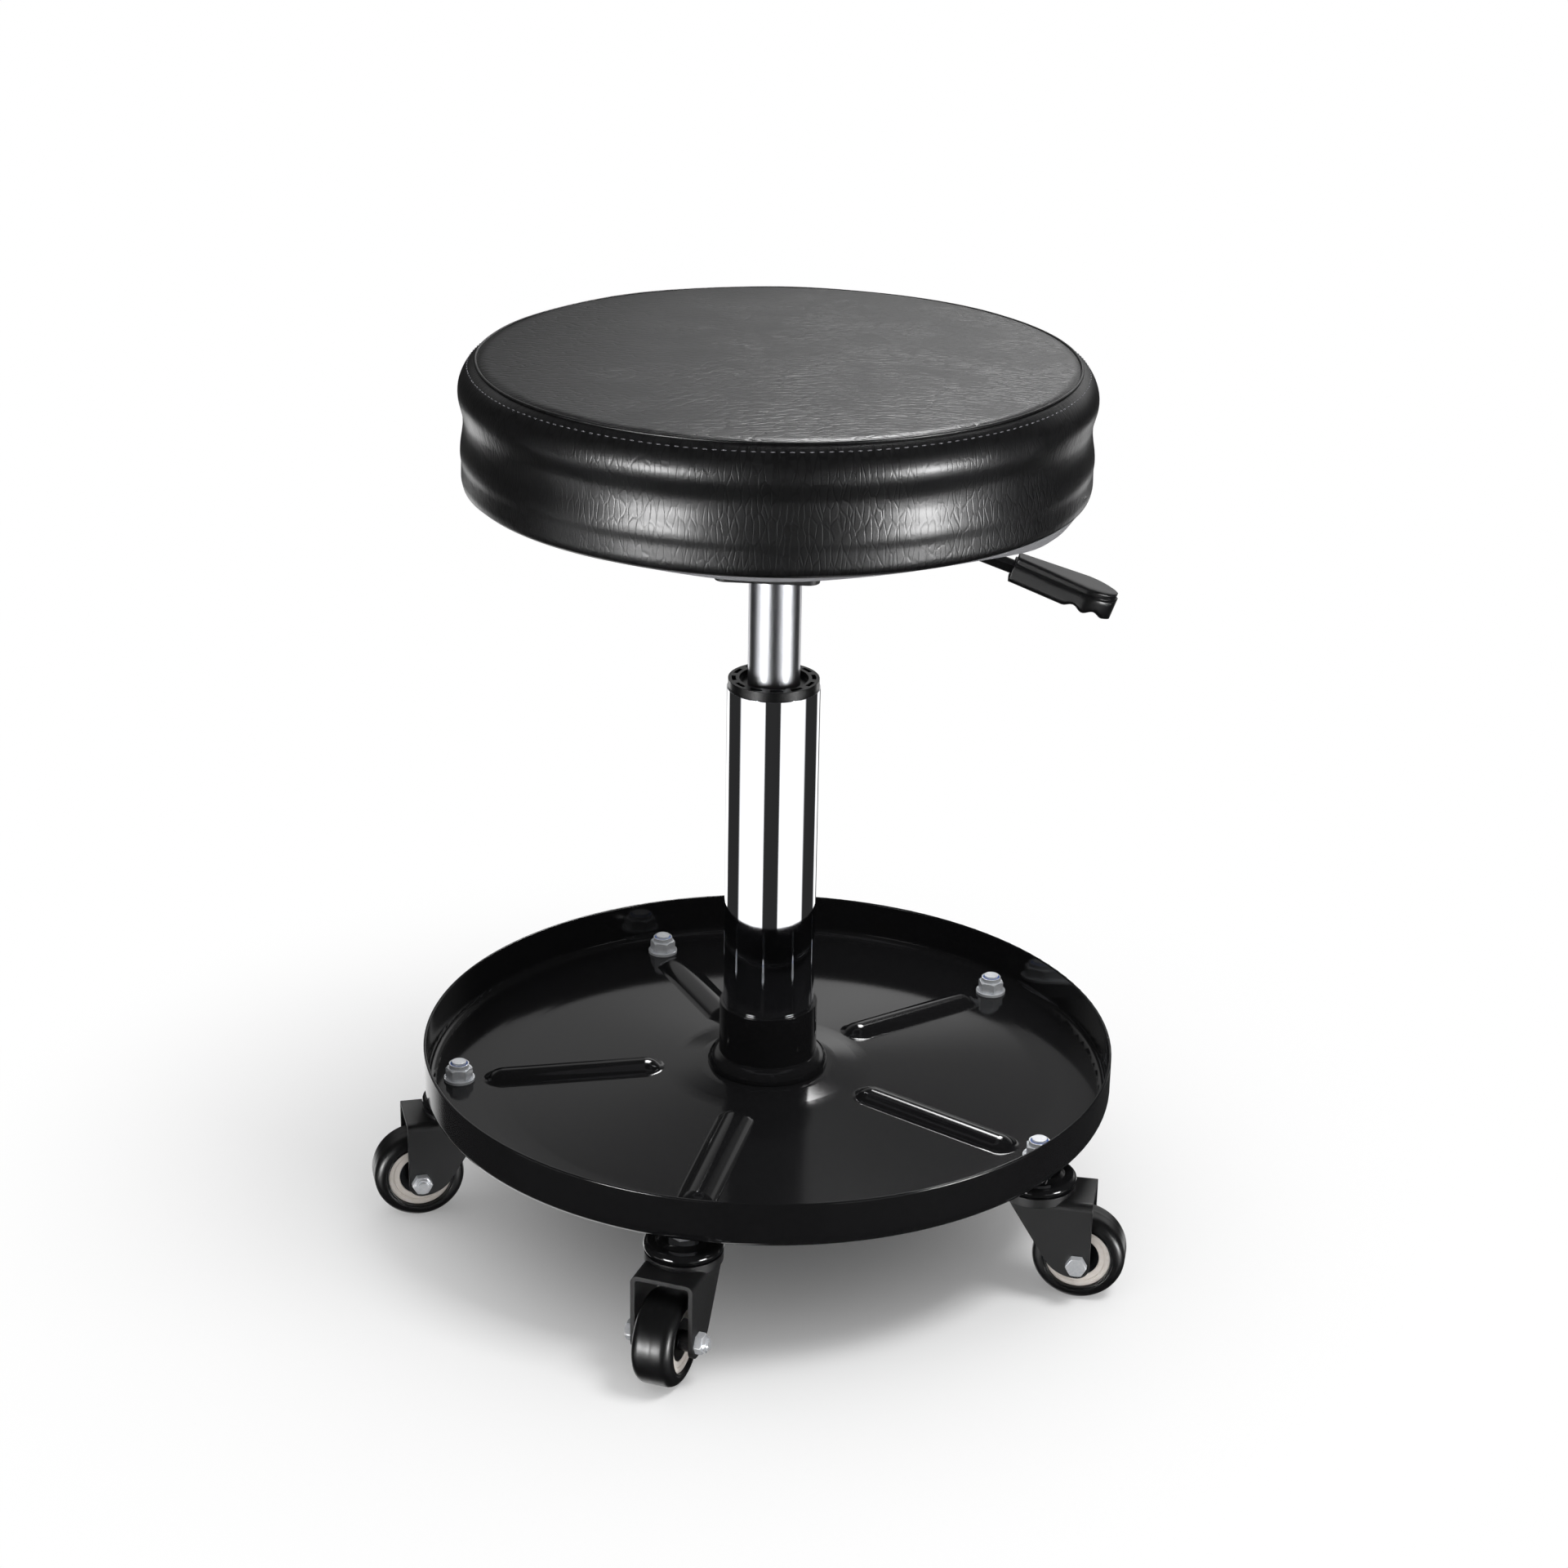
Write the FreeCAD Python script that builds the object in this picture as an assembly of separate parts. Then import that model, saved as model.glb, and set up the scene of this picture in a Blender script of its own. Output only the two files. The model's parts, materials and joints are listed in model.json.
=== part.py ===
"""Rolling work stool: a padded round seat on a gas lift, carried by a parts tray on five swivel casters.

Millimetres, +Z up. The origin is on the floor under the column, and +X points along the height lever.
Every height is stacked from the floor up: wheel, fork, ball race, tray, column, lift tube, seat.
"""
import FreeCAD, Part
import math
import os
from FreeCAD import Vector

# Casters
caster_count = 5
first_caster_deg = 45.0          # angle of the first caster from the lever
swivel_rest_deg = (0.0, 0.0, 9.6, -5.5, 22.0)  # how far each fork stands turned from straight out
wheel_radius = 25.0
wheel_width = 22.0
tread_shoulder = 5.5             # rounding of the tread's outer edges
hub_share = 0.7                  # hub's radius as a part of the wheel's
hub_recess = 1.6                 # how far the hub's face lies inside the tread's side
bearing_share = 0.64             # bearing's radius as a part of the hub's
bearing_inset = 1.0              # how far the bearing's seal lies inside the hub's face
spacer_wall = 2.5
caster_trail = 24.5              # axle behind the stem
tyre_clearance = 8.5             # tread to the underside of the fork's crown
fork_plate = 2.5
leg_gap = 3.5                    # between the wheel's side and a leg
fork_bend = 4.0                  # outer radius of the bend from crown to leg
leg_back = 7.0                   # leg's straight back edge behind the axle
leg_drop = 8.5                   # leg's end below the axle
leg_heel_radius = 20.0           # curve from the leg's end up into its slanting front edge
crown_reach = 12.5               # how far the legs reach in front of the stem
race_radius = 20.5
race_rise = 2.6                  # pressed rise of the crown under the ball race
race_gap = 0.6
race_overhang = 0.5              # upper race beyond the lower one
top_race_round = 1.0             # how far the upper race's edge is rounded in
top_race_depth = 5.3
top_race_hub = 12.5              # raised middle of the upper race
race_hub_rise = 2.0
ball_radius = 2.0
ball_circle = 13.5
ball_count = 8
stem_radius = 4.0                # M8 thread
king_radius = 5.0                # plain journal that the fork turns on
rivet_radius = 8.0
rivet_height = 2.2
shoulder_flats = 14.0            # across the flats of the stem's hexagon
shoulder_height = 5.5
axle_radius = 3.0                # M6 bolt
axle_flats = 10.0
bolt_head = 4.0
axle_nut_hex = 3.9               # height of the nut's hexagon
axle_nut_collar = 1.6            # height of the nut's round end
axle_nut_wall = 1.3              # wall of the nut's round end
axle_show = 1.25                 # thread beyond the nut

# Parts tray
tray_radius = 190.7
tray_sheet = 1.5
rim_height = 24.8                # rim above the tray's floor
tray_corner = 5.0                # inner radius where the floor turns up into the rim
rim_round = 0.6
dome_rise = 9.0
dome_margin = 3.0                # flat top of the dome round the weld
dome_steep = 18.0                # width of the steeper slope next to the flat top
dome_ease_rise = 6.5             # dome above the floor where the slope eases
dome_stop = 16.5                 # foot of the dome short of the stem's centre
dome_rounds = (40.0, 100.0, 200.0)  # rounding of the slope: at its top, where it eases and at its foot
rib_gap = 4.5                    # start of a rib outside the steeper slope
rib_stop = 14.5                  # end of a rib short of the stem's centre
stem_inset = 19.2                # stem's centre inside the tray's outer face
rib_width = 19.0
rib_height = 5.0
rib_foot_round = 3.0             # where a rib's side runs out into the floor
stem_washer_radius = 8.6
stem_washer_thickness = 1.6
lock_nut_flats = 13.0
lock_nut_hex = 6.0               # height of the hexagon
lock_nut_collar = 2.4            # height of the collar round the nylon ring
insert_wall = 0.9                # nylon ring round the thread
collar_wall = 0.7                # steel round the nylon ring
stem_show = 1.2                  # thread above the nut

# Column and gas lift
socket_wall = 2.0
socket_above = 46.5
socket_below = 5.0
weld_leg = 6.0
weld_height = 8.0
column_radius = 25.0
column_wall = 1.6
column_rise = 231.5              # column top above the tray's floor
column_taper = 0.6               # loss of radius over the part that sits in the socket
bush_flange = 5.0
bush_depth = 68.0
bush_flange_step = 0.6           # flange's edge inside the column's outer face
bush_recess = 3.0                # step round the lift tube in the top of the bush
bush_recess_width = 4.5
bush_slot_count = 12
bush_slot_width = 2.2
bush_slot_depth = 2.0
bush_slot_share = 0.62           # part of each pitch that is slot
tube_radius = 14.0
tube_wall = 1.7
tube_show = 71.0                 # bare lift tube between bush and seat plate
tube_cap = 3.0
taper_loss = 0.9
rod_radius = 5.0
rod_collar_step = 2.5
rod_collar = 4.0
rod_tail = 3.4                   # rod below the base plate
guide_length = 20.0
piston_length = 12.0
lift_up = 52.0                   # travel above the pictured height
lift_down = 68.0                 # travel below it
stop_gap = 1.0                   # left at the top of the travel
bump_gap = 6.7                   # left above the bump stop at the bottom of the travel
valve_floor = 4.5                # valve block under the pin's bore
seal_depth = 1.5                 # groove round the piston
base_plate = 6.0
clip_lip = 3.0                   # clip beyond the rod
clip_groove = 1.0                # depth of the rod's groove
clip_thickness = 1.2
bearing_ring_wall = 7.0
bearing_ring = 5.0               # height of the thrust bearing
bumper_wall = 5.5
bumper_length = 10.0

# Seat and its plate
plate_sheet = 2.5
plate_box_x = 54.0
plate_box_y = 112.0
plate_box_depth = 38.0
plate_corner = 6.0
flange_x = 150.0
flange_y = 160.0
flange_corner = 14.0
taper_wall = 4.0
screw_inset_x = 17.0             # screw's centre inside the flange's edge
screw_inset_y = 18.0
screw_radius = 3.0
screw_head_radius = 6.5
screw_head = 3.6
screw_length = 15.0
tee_barrel_radius = 4.0
tee_flange_radius = 9.0
tee_flange = 1.3
dust_cloth = 0.8
dust_cloth_sag = 5.0
dust_cloth_margin = 6.0          # stapled flat edge of the cloth
cover_thickness = 1.2
hem_width = 26.0
seat_radius = 164.8              # upper bulge, the seat's widest place
foot_inset = 2.3                 # bottom edge inside the widest place, and so on upwards
lower_bulge_inset = 0.8
waist_inset = 2.9
seam_inset = 9.3
lower_bulge_rise = 13.0          # above the bottom edge
waist_step = 15.0                # waist above the lower bulge, and so on upwards
upper_bulge_step = 19.0
seam_step = 15.5
crown_step = 6.0
board_inset = 4.5                # board's edge inside the seat's bottom edge
board_thickness = 12.0

# Height lever and release pin
lever_radius = 3.7
lever_drop = 9.0                 # rod centre below the flange's upper face
lever_bend_out = 8.0             # bend outside the wall of the plate's box
lever_bend_radius = 16.0
lever_slope_deg = 19.7
lever_inner = 9.0                # rod past the lift's axis
lever_run = 96.0                 # sloping stretch from the bend to the handle
lever_bush_wall = 2.5
lever_bush_width = 6.0
lever_lift_deg = 7.0
grip_length = 57.0
grip_socket = 20.0               # how far the rod goes into the handle
grip_root_width = 13.0
grip_width = 25.0
grip_swell = 40.0                # distance from root to the widest place
grip_depth = 14.5
grip_above = 7.3                 # handle's top above the rod's axis
grip_lid = 2.6                   # thickness of the raised lid on the handle
grip_lid_inset = 0.9
finger_radius = 9.0
finger_depth = 2.6
finger_start = 35.5              # first finger grip from the handle's root
finger_pitch = 11.2
pin_radius = 2.0
pin_show = 5.0                   # release pin above the lift tube's end
pin_length = 24.0

# Fits
running_fit = 0.05               # radial, shaft in bearing
seat_fit = 0.02                  # radial, pressed pieces
free_gap = 0.3                   # between faces that pass each other
hole_play = 0.3                  # round a screw

# Heights, from the floor up
axle_z = wheel_radius
crown_under_z = 2 * wheel_radius + tyre_clearance
crown_top_z = crown_under_z + fork_plate
race_seat_z = crown_top_z + race_rise
race_under_z = race_seat_z + race_gap
race_top_z = race_under_z + top_race_depth
tray_under_z = race_top_z + race_hub_rise + shoulder_height
floor_z = tray_under_z + tray_sheet
rim_z = floor_z + rim_height
dome_z = floor_z + dome_rise
socket_bottom_z = tray_under_z - socket_below
socket_top_z = floor_z + socket_above
column_top_z = floor_z + column_rise
base_top_z = socket_bottom_z + base_plate
bush_top_z = column_top_z + bush_flange
bumper_foot_z = base_top_z + free_gap + bearing_ring + rod_collar
tube_bottom_z = bumper_foot_z + bumper_length + bump_gap + lift_down
plate_bottom_z = bush_top_z + tube_show
flange_top_z = plate_bottom_z + plate_box_depth
flange_under_z = flange_top_z - plate_sheet
cloth_top_z = flange_top_z + dust_cloth
board_under_z = cloth_top_z + cover_thickness
board_top_z = board_under_z + board_thickness
seat_foot_z = board_under_z
lever_z = flange_top_z - lever_drop
pin_top_z = lever_z - lever_radius - free_gap
pin_foot_z = pin_top_z - pin_length
tube_top_z = pin_top_z - pin_show
guide_top_z = tube_bottom_z + guide_length
piston_z = guide_top_z + lift_up + stop_gap
ball_z = (race_seat_z + race_under_z) / 2

# Widths that follow from others
hub_radius = wheel_radius * hub_share
bearing_radius = hub_radius * bearing_share
spacer_radius = axle_radius + spacer_wall
fork_gap = wheel_width + 2 * leg_gap
fork_width = fork_gap + 2 * fork_plate
leg_outer = fork_width / 2
top_race_radius = race_radius + race_overhang
caster_circle = tray_radius - stem_inset
rib_end = caster_circle - rib_stop
insert_radius = stem_radius + insert_wall
collar_radius = insert_radius + collar_wall
column_bore = column_radius - column_wall
socket_radius = column_radius + socket_wall
dome_flat = socket_radius + weld_leg + dome_margin
dome_ease = dome_flat + dome_steep
dome_foot = caster_circle - dome_stop
dome_slope_deg = math.degrees(math.atan2(dome_ease_rise, dome_foot - dome_ease))
rib_start = dome_ease + rib_gap
tube_bore = tube_radius - tube_wall
bush_flange_radius = column_radius - bush_flange_step
bush_recess_radius = tube_radius + bush_recess_width
bush_slot_circle = (bush_recess_radius + bush_flange_radius) / 2
taper_outer = tube_radius + taper_wall
screw_x = flange_x / 2 - screw_inset_x
screw_y = flange_y / 2 - screw_inset_y
seat_foot_radius = seat_radius - foot_inset
board_radius = seat_foot_radius - board_inset
lever_bush_radius = lever_radius + lever_bush_wall
lever_pivot_x = plate_box_x / 2 - plate_sheet / 2

UP = Vector(0, 0, 1)
ORIGIN = Vector(0, 0, 0)


def save(name, *solids):
    """Write the solids of one node to its own file."""
    shape = solids[0] if len(solids) == 1 else Part.makeCompound(list(solids))
    shape.exportStep("parts/%s.step" % name)
    print("%-28s %2d solid(s) %10.1f mm3" % (name, len(shape.Solids), shape.Volume))


def disc(radius, bottom, top):
    return Part.makeCylinder(radius, top - bottom, Vector(0, 0, bottom))


def tube(outer, inner, bottom, top):
    return disc(outer, bottom, top).cut(disc(inner, bottom - 1, top + 1))


def polygon(points):
    """Flat face on a closed outline of straight lines."""
    return Part.Face(Part.makePolygon(list(points) + [points[0]]))


def turned(edges, base=ORIGIN, axis=UP):
    """Solid of revolution from the edges of a closed half section."""
    return Part.Face(Part.Wire(edges)).revolve(base, axis, 360).Solids[0]


def line(a, b):
    return Part.makeLine(Vector(*a), Vector(*b))


def arc(a, via, b):
    return Part.Arc(Vector(*a), Vector(*via), Vector(*b)).toShape()


def rounded_line(points, radii):
    """Edges along a row of points. Each inner corner is rounded off by its radius."""
    edges = []
    start = Vector(*points[0])
    for before, corner, after, radius in zip(points, points[1:], points[2:], radii):
        corner = Vector(*corner)
        back = (Vector(*before) - corner).normalize()
        on = (Vector(*after) - corner).normalize()
        half = back.getAngle(on) / 2
        inward = (back + on).normalize()
        middle = corner + inward * (radius / math.sin(half) - radius)
        first = corner + back * (radius / math.tan(half))
        last = corner + on * (radius / math.tan(half))
        edges += [Part.makeLine(start, first), Part.Arc(first, middle, last).toShape()]
        start = last
    return edges + [Part.makeLine(start, Vector(*points[-1]))]


def ring_section(points):
    """Closed half section in the XZ plane from (radius, height) corners."""
    closed = list(points) + [points[0]]
    return [line((r0, 0, z0), (r1, 0, z1)) for (r0, z0), (r1, z1) in zip(closed, closed[1:])]


def hexagon(flats, bottom, top):
    """Hexagonal bar about Z."""
    reach = flats / math.sqrt(3)
    corners = [Vector(reach * math.cos(a), reach * math.sin(a), bottom)
               for a in [math.radians(60 * k) for k in range(6)]]
    return polygon(corners).extrude(Vector(0, 0, top - bottom))


def chamfered_hexagon(flats, bottom, top, chamfer_bottom=False):
    """Hexagonal bar with its corners turned off at the top, as on a nut or a bolt head."""
    reach = flats / math.sqrt(3)
    fall = (reach - flats / 2) * math.tan(math.radians(30))
    low = bottom + fall if chamfer_bottom else bottom
    low_radius = flats / 2 if chamfer_bottom else reach
    section = [(0, bottom), (low_radius, bottom), (reach, low),
               (reach, top - fall), (flats / 2, top), (0, top)]
    if not chamfer_bottom:
        section.remove((reach, low))
    return hexagon(flats, bottom, top).common(turned(ring_section(section)))


def rounded_plate(size_x, size_y, corner, bottom, top):
    """Rectangular plate centred on Z, with rounded corners."""
    plate = Part.makeBox(size_x, size_y, top - bottom, Vector(-size_x / 2, -size_y / 2, bottom))
    upright = [e for e in plate.Edges if abs(e.tangentAt(e.FirstParameter).z) > 0.99]
    return plate.makeFillet(corner, upright)


def caster_angle(index):
    return first_caster_deg + index * 360.0 / caster_count


def at_stem(shape, index, swivel=0.0):
    """Copy of a shape modelled about Z, moved to a caster's stem and turned to face outwards."""
    angle = caster_angle(index)
    copy = shape.copy()
    copy.rotate(ORIGIN, UP, angle + swivel)
    around = math.radians(angle)
    copy.translate(Vector(caster_circle * math.cos(around), caster_circle * math.sin(around), 0))
    return copy


def at_every_stem(shape):
    return [at_stem(shape, index) for index in range(caster_count)]


def across(shape):
    """Copy of a shape modelled about Z, laid along Y with its middle on the wheel's axle."""
    copy = shape.copy()
    copy.rotate(ORIGIN, Vector(1, 0, 0), -90)
    copy.translate(Vector(caster_trail, 0, axle_z))
    return copy


# Tray


def make_tray():
    """Pressed dish with a middle dome, an upright rim and hollow radial ribs."""
    hole = socket_radius + seat_fit
    inner_wall = tray_radius - tray_sheet
    bend = inner_wall - tray_corner
    inner_mid = tray_corner * math.sqrt(0.5)
    outer_corner = tray_corner + tray_sheet
    outer_mid = outer_corner * math.sqrt(0.5)
    upper = [(hole, 0, dome_z), (dome_flat, 0, dome_z), (dome_ease, 0, floor_z + dome_ease_rise),
             (dome_foot, 0, floor_z), (bend, 0, floor_z)]
    lower = [(r, 0, z - tray_sheet) for r, y, z in reversed(upper)]
    section = [
        *rounded_line(upper, dome_rounds),
        arc((bend, 0, floor_z),
            (bend + inner_mid, 0, floor_z + tray_corner - inner_mid),
            (inner_wall, 0, floor_z + tray_corner)),
        line((inner_wall, 0, floor_z + tray_corner), (inner_wall, 0, rim_z)),
        line((inner_wall, 0, rim_z), (tray_radius, 0, rim_z)),
        line((tray_radius, 0, rim_z), (tray_radius, 0, floor_z + tray_corner)),
        arc((tray_radius, 0, floor_z + tray_corner),
            (bend + outer_mid, 0, floor_z + tray_corner - outer_mid),
            (bend, 0, tray_under_z)),
        *rounded_line(lower, reversed(dome_rounds)),
        line((hole, 0, dome_z - tray_sheet), (hole, 0, dome_z)),
    ]
    tray = turned(section)
    tray = tray.makeFillet(rim_round, [e for e in tray.Edges if abs(e.BoundBox.ZMin - rim_z) < 1e-6])
    crest = (rib_width ** 2 / 4 + rib_height ** 2) / (2 * rib_height)
    for index in range(caster_count):
        tray = tray.fuse(rib(index, crest, floor_z))
    tray = tray.removeSplitter()
    feet = [e for e in tray.Edges if is_rib_foot(e)]
    tray = tray.makeFillet(rib_foot_round, feet)
    for index in range(caster_count):
        tray = tray.cut(rib(index, crest - tray_sheet, tray_under_z))
    stem_hole = disc(stem_radius + hole_play, tray_under_z - 1, floor_z + 1)
    for hole_tool in at_every_stem(stem_hole):
        tray = tray.cut(hole_tool)
    return tray.removeSplitter().Solids[0]


def is_rib_foot(edge):
    """True for the edges where a rib's side meets the slope of the dome."""
    if edge.Length > rib_end:
        return False
    for share in (0.0, 0.5, 1.0):
        point = edge.valueAt(edge.FirstParameter + share * (edge.LastParameter - edge.FirstParameter))
        reach = math.hypot(point.x, point.y)
        slope_z = floor_z + max(0.0, dome_foot - reach) * math.tan(math.radians(dome_slope_deg))
        if not rib_start - 1 < reach < rib_end + 1 or abs(point.z - slope_z) > rib_height / 4:
            return False
    return True


def rib(index, radius, foot):
    """Round-ended bar down the dome's slope, cut off flat at its foot: the skin or the hollow of a rib."""
    crest_z = floor_z + rib_height - (rib_width ** 2 / 4 + rib_height ** 2) / (2 * rib_height)
    inset = rib_width / 2
    first = rib_start + inset
    last = rib_end - inset
    section = [
        line((first - radius, 0, crest_z), (last + radius, 0, crest_z)),
        arc((last + radius, 0, crest_z),
            (last + radius * math.sqrt(0.5), 0, crest_z + radius * math.sqrt(0.5)),
            (last, 0, crest_z + radius)),
        line((last, 0, crest_z + radius), (first, 0, crest_z + radius)),
        arc((first, 0, crest_z + radius),
            (first - radius * math.sqrt(0.5), 0, crest_z + radius * math.sqrt(0.5)),
            (first - radius, 0, crest_z)),
    ]
    bar = turned(section, Vector(0, 0, crest_z), Vector(1, 0, 0))
    above = Part.makeBox(2 * tray_radius, 4 * radius, 4 * radius,
                         Vector(0, -2 * radius, foot - tray_sheet / 4))
    bar = bar.common(above)
    bar.rotate(Vector(dome_foot, 0, floor_z), Vector(0, 1, 0), dome_slope_deg)
    bar.rotate(ORIGIN, UP, caster_angle(index))
    return bar


def make_socket():
    """Short steel tube with a tapered bore, welded into the tray's dome."""
    narrow = column_radius - column_taper + seat_fit
    wide = column_radius + seat_fit
    weld_mid = weld_leg * math.sqrt(0.5)
    weld_rise = weld_height * math.sqrt(0.5)
    section = [
        line((narrow, 0, socket_bottom_z), (socket_radius, 0, socket_bottom_z)),
        line((socket_radius, 0, socket_bottom_z), (socket_radius, 0, dome_z)),
        line((socket_radius, 0, dome_z), (socket_radius + weld_leg, 0, dome_z)),
        arc((socket_radius + weld_leg, 0, dome_z),
            (socket_radius + weld_mid, 0, dome_z + weld_rise),
            (socket_radius, 0, dome_z + weld_height)),
        line((socket_radius, 0, dome_z + weld_height), (socket_radius, 0, socket_top_z)),
        line((socket_radius, 0, socket_top_z), (wide, 0, socket_top_z)),
        line((wide, 0, socket_top_z), (narrow, 0, socket_bottom_z)),
    ]
    return turned(section)


# Column and gas lift


def make_column():
    """Chromed tube whose lower end tapers into the socket."""
    foot = column_radius - column_taper
    section = [(column_bore, socket_bottom_z), (foot, socket_bottom_z), (column_radius, socket_top_z),
               (column_radius, column_top_z), (column_bore, column_top_z)]
    return turned(ring_section(section))


def make_bush():
    """Plastic guide bush: a sleeve in the column and a flange with a ring of slots on top."""
    bore = tube_radius + running_fit
    sleeve = column_bore - seat_fit
    recess_z = bush_top_z - bush_recess
    section = [(bore, bush_top_z - bush_depth), (sleeve, bush_top_z - bush_depth), (sleeve, column_top_z),
               (bush_flange_radius, column_top_z), (bush_flange_radius, bush_top_z),
               (bush_recess_radius, bush_top_z), (bush_recess_radius, recess_z), (bore, recess_z)]
    bush = turned(ring_section(section))
    pitch = 360.0 / bush_slot_count
    slot = Part.Face(Part.Wire(ring_section([
        (bush_slot_circle - bush_slot_width / 2, bush_top_z - bush_slot_depth),
        (bush_slot_circle + bush_slot_width / 2, bush_top_z - bush_slot_depth),
        (bush_slot_circle + bush_slot_width / 2, bush_top_z + 1),
        (bush_slot_circle - bush_slot_width / 2, bush_top_z + 1),
    ]))).revolve(ORIGIN, UP, pitch * bush_slot_share)
    for index in range(bush_slot_count):
        cutter = slot.copy()
        cutter.rotate(ORIGIN, UP, index * pitch)
        bush = bush.cut(cutter)
    return bush.Solids[0]


def make_pressure_tube():
    """Lift tube, closed at the top by its tapered end with a hole for the release pin."""
    shoulder_z = plate_bottom_z
    end = tube_radius - taper_loss
    pin_hole = pin_radius + running_fit
    section = [(tube_bore, tube_bottom_z), (tube_radius, tube_bottom_z), (tube_radius, shoulder_z),
               (end, tube_top_z), (pin_hole, tube_top_z), (pin_hole, tube_top_z - tube_cap),
               (tube_bore - taper_loss, tube_top_z - tube_cap), (tube_bore, shoulder_z)]
    return turned(ring_section(section))


def make_rod():
    """Piston rod with the collar that stands on the thrust bearing and a groove for its clip."""
    clip_top = socket_bottom_z - free_gap
    clip_under = clip_top - clip_thickness
    groove = rod_radius - clip_groove
    tail_z = clip_under - rod_tail
    collar_z = bumper_foot_z - rod_collar
    collar = rod_radius + rod_collar_step
    section = [(0, tail_z), (rod_radius, tail_z), (rod_radius, clip_under), (groove, clip_under),
               (groove, clip_top), (rod_radius, clip_top), (rod_radius, collar_z),
               (collar, collar_z), (collar, bumper_foot_z),
               (rod_radius, bumper_foot_z), (rod_radius, piston_z), (0, piston_z)]
    bore = rod_radius + seat_fit
    clip = tube(rod_radius + clip_lip, groove + seat_fit, clip_under + seat_fit, clip_top - seat_fit)
    bearing = tube(rod_radius + bearing_ring_wall, bore, collar_z - bearing_ring, collar_z)
    bumper = tube(rod_radius + bumper_wall, bore, bumper_foot_z, bumper_foot_z + bumper_length)
    return turned(ring_section(section)), clip, bearing, bumper


def make_piston():
    """Piston head with a groove for its seal, on top of the rod."""
    head = tube_bore - running_fit
    groove = head - seal_depth
    third = piston_length / 3
    section = [(0, piston_z), (head, piston_z), (head, piston_z + third), (groove, piston_z + third),
               (groove, piston_z + 2 * third), (head, piston_z + 2 * third),
               (head, piston_z + piston_length), (0, piston_z + piston_length)]
    return turned(ring_section(section))


def make_valve():
    """Valve block under the tube's cap, with a blind bore for the release pin."""
    top = tube_top_z - tube_cap
    body = tube_bore - taper_loss - seat_fit
    press = lever_pivot_x * math.radians(lever_lift_deg)
    blind = pin_foot_z - press - free_gap
    bottom = blind - valve_floor
    pin_hole = pin_radius + running_fit
    section = [(0, bottom), (body, bottom), (body, top), (pin_hole, top), (pin_hole, blind), (0, blind)]
    return turned(ring_section(section))


# Seat


def seat_outline(inset):
    """Corner points of the cushion's half section: foot, bulges, drawn-in waist, seam and crown."""
    widest = seat_radius - inset
    lower_z = seat_foot_z + lower_bulge_rise
    waist_z = lower_z + waist_step
    upper_z = waist_z + upper_bulge_step
    seam_z = upper_z + seam_step - inset
    return {
        "foot": (widest - foot_inset, 0, seat_foot_z),
        "lower": (widest - lower_bulge_inset, 0, lower_z),
        "waist": (widest - waist_inset, 0, waist_z),
        "upper": (widest, 0, upper_z),
        "seam": (widest - seam_inset, 0, seam_z),
        "crown": (0, 0, seam_z + crown_step),
    }


def crown_arc(seam, crown):
    """Shallow arc from the seam to the middle of the seat's top, level at the middle."""
    rise = crown[2] - seam[2]
    radius = (seam[0] ** 2 + rise ** 2) / (2 * rise)
    half = seam[0] / 2
    drop = radius - math.sqrt(radius ** 2 - half ** 2)
    return arc(seam, (half, 0, crown[2] - drop), crown)


def skin_edges(outline):
    """The cushion's outer line from its foot up to the crown."""
    return [arc(outline["foot"], outline["lower"], outline["waist"]),
            arc(outline["waist"], outline["upper"], outline["seam"]),
            crown_arc(outline["seam"], outline["crown"])]


def make_foam():
    """Foam block on the board, under the cover."""
    inside = cover_thickness + free_gap
    outline = seat_outline(inside)
    edge = board_radius + free_gap
    section = skin_edges(outline) + [
        line(outline["crown"], (0, 0, board_top_z)),
        line((0, 0, board_top_z), (edge, 0, board_top_z)),
        line((edge, 0, board_top_z), (edge, 0, outline["foot"][2])),
        line((edge, 0, outline["foot"][2]), outline["foot"]),
    ]
    return turned(section)


def make_cover():
    """Sewn cover: crowned top, sides drawn in at the waist, hem turned under the board."""
    outer = seat_outline(0)
    inner = seat_outline(cover_thickness)
    hem_z = seat_foot_z - cover_thickness
    hem_radius = seat_foot_radius - hem_width
    inner_line = skin_edges(inner)
    turn = cover_thickness * math.sqrt(0.5)
    section = skin_edges(outer) + [line(outer["crown"], inner["crown"])] + inner_line + [
        line(inner["foot"], (hem_radius, 0, seat_foot_z)),
        line((hem_radius, 0, seat_foot_z), (hem_radius, 0, hem_z)),
        line((hem_radius, 0, hem_z), (inner["foot"][0], 0, hem_z)),
        arc((inner["foot"][0], 0, hem_z),
            (inner["foot"][0] + turn, 0, seat_foot_z - turn),
            outer["foot"]),
    ]
    return turned(Part.__sortEdges__(section))


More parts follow.
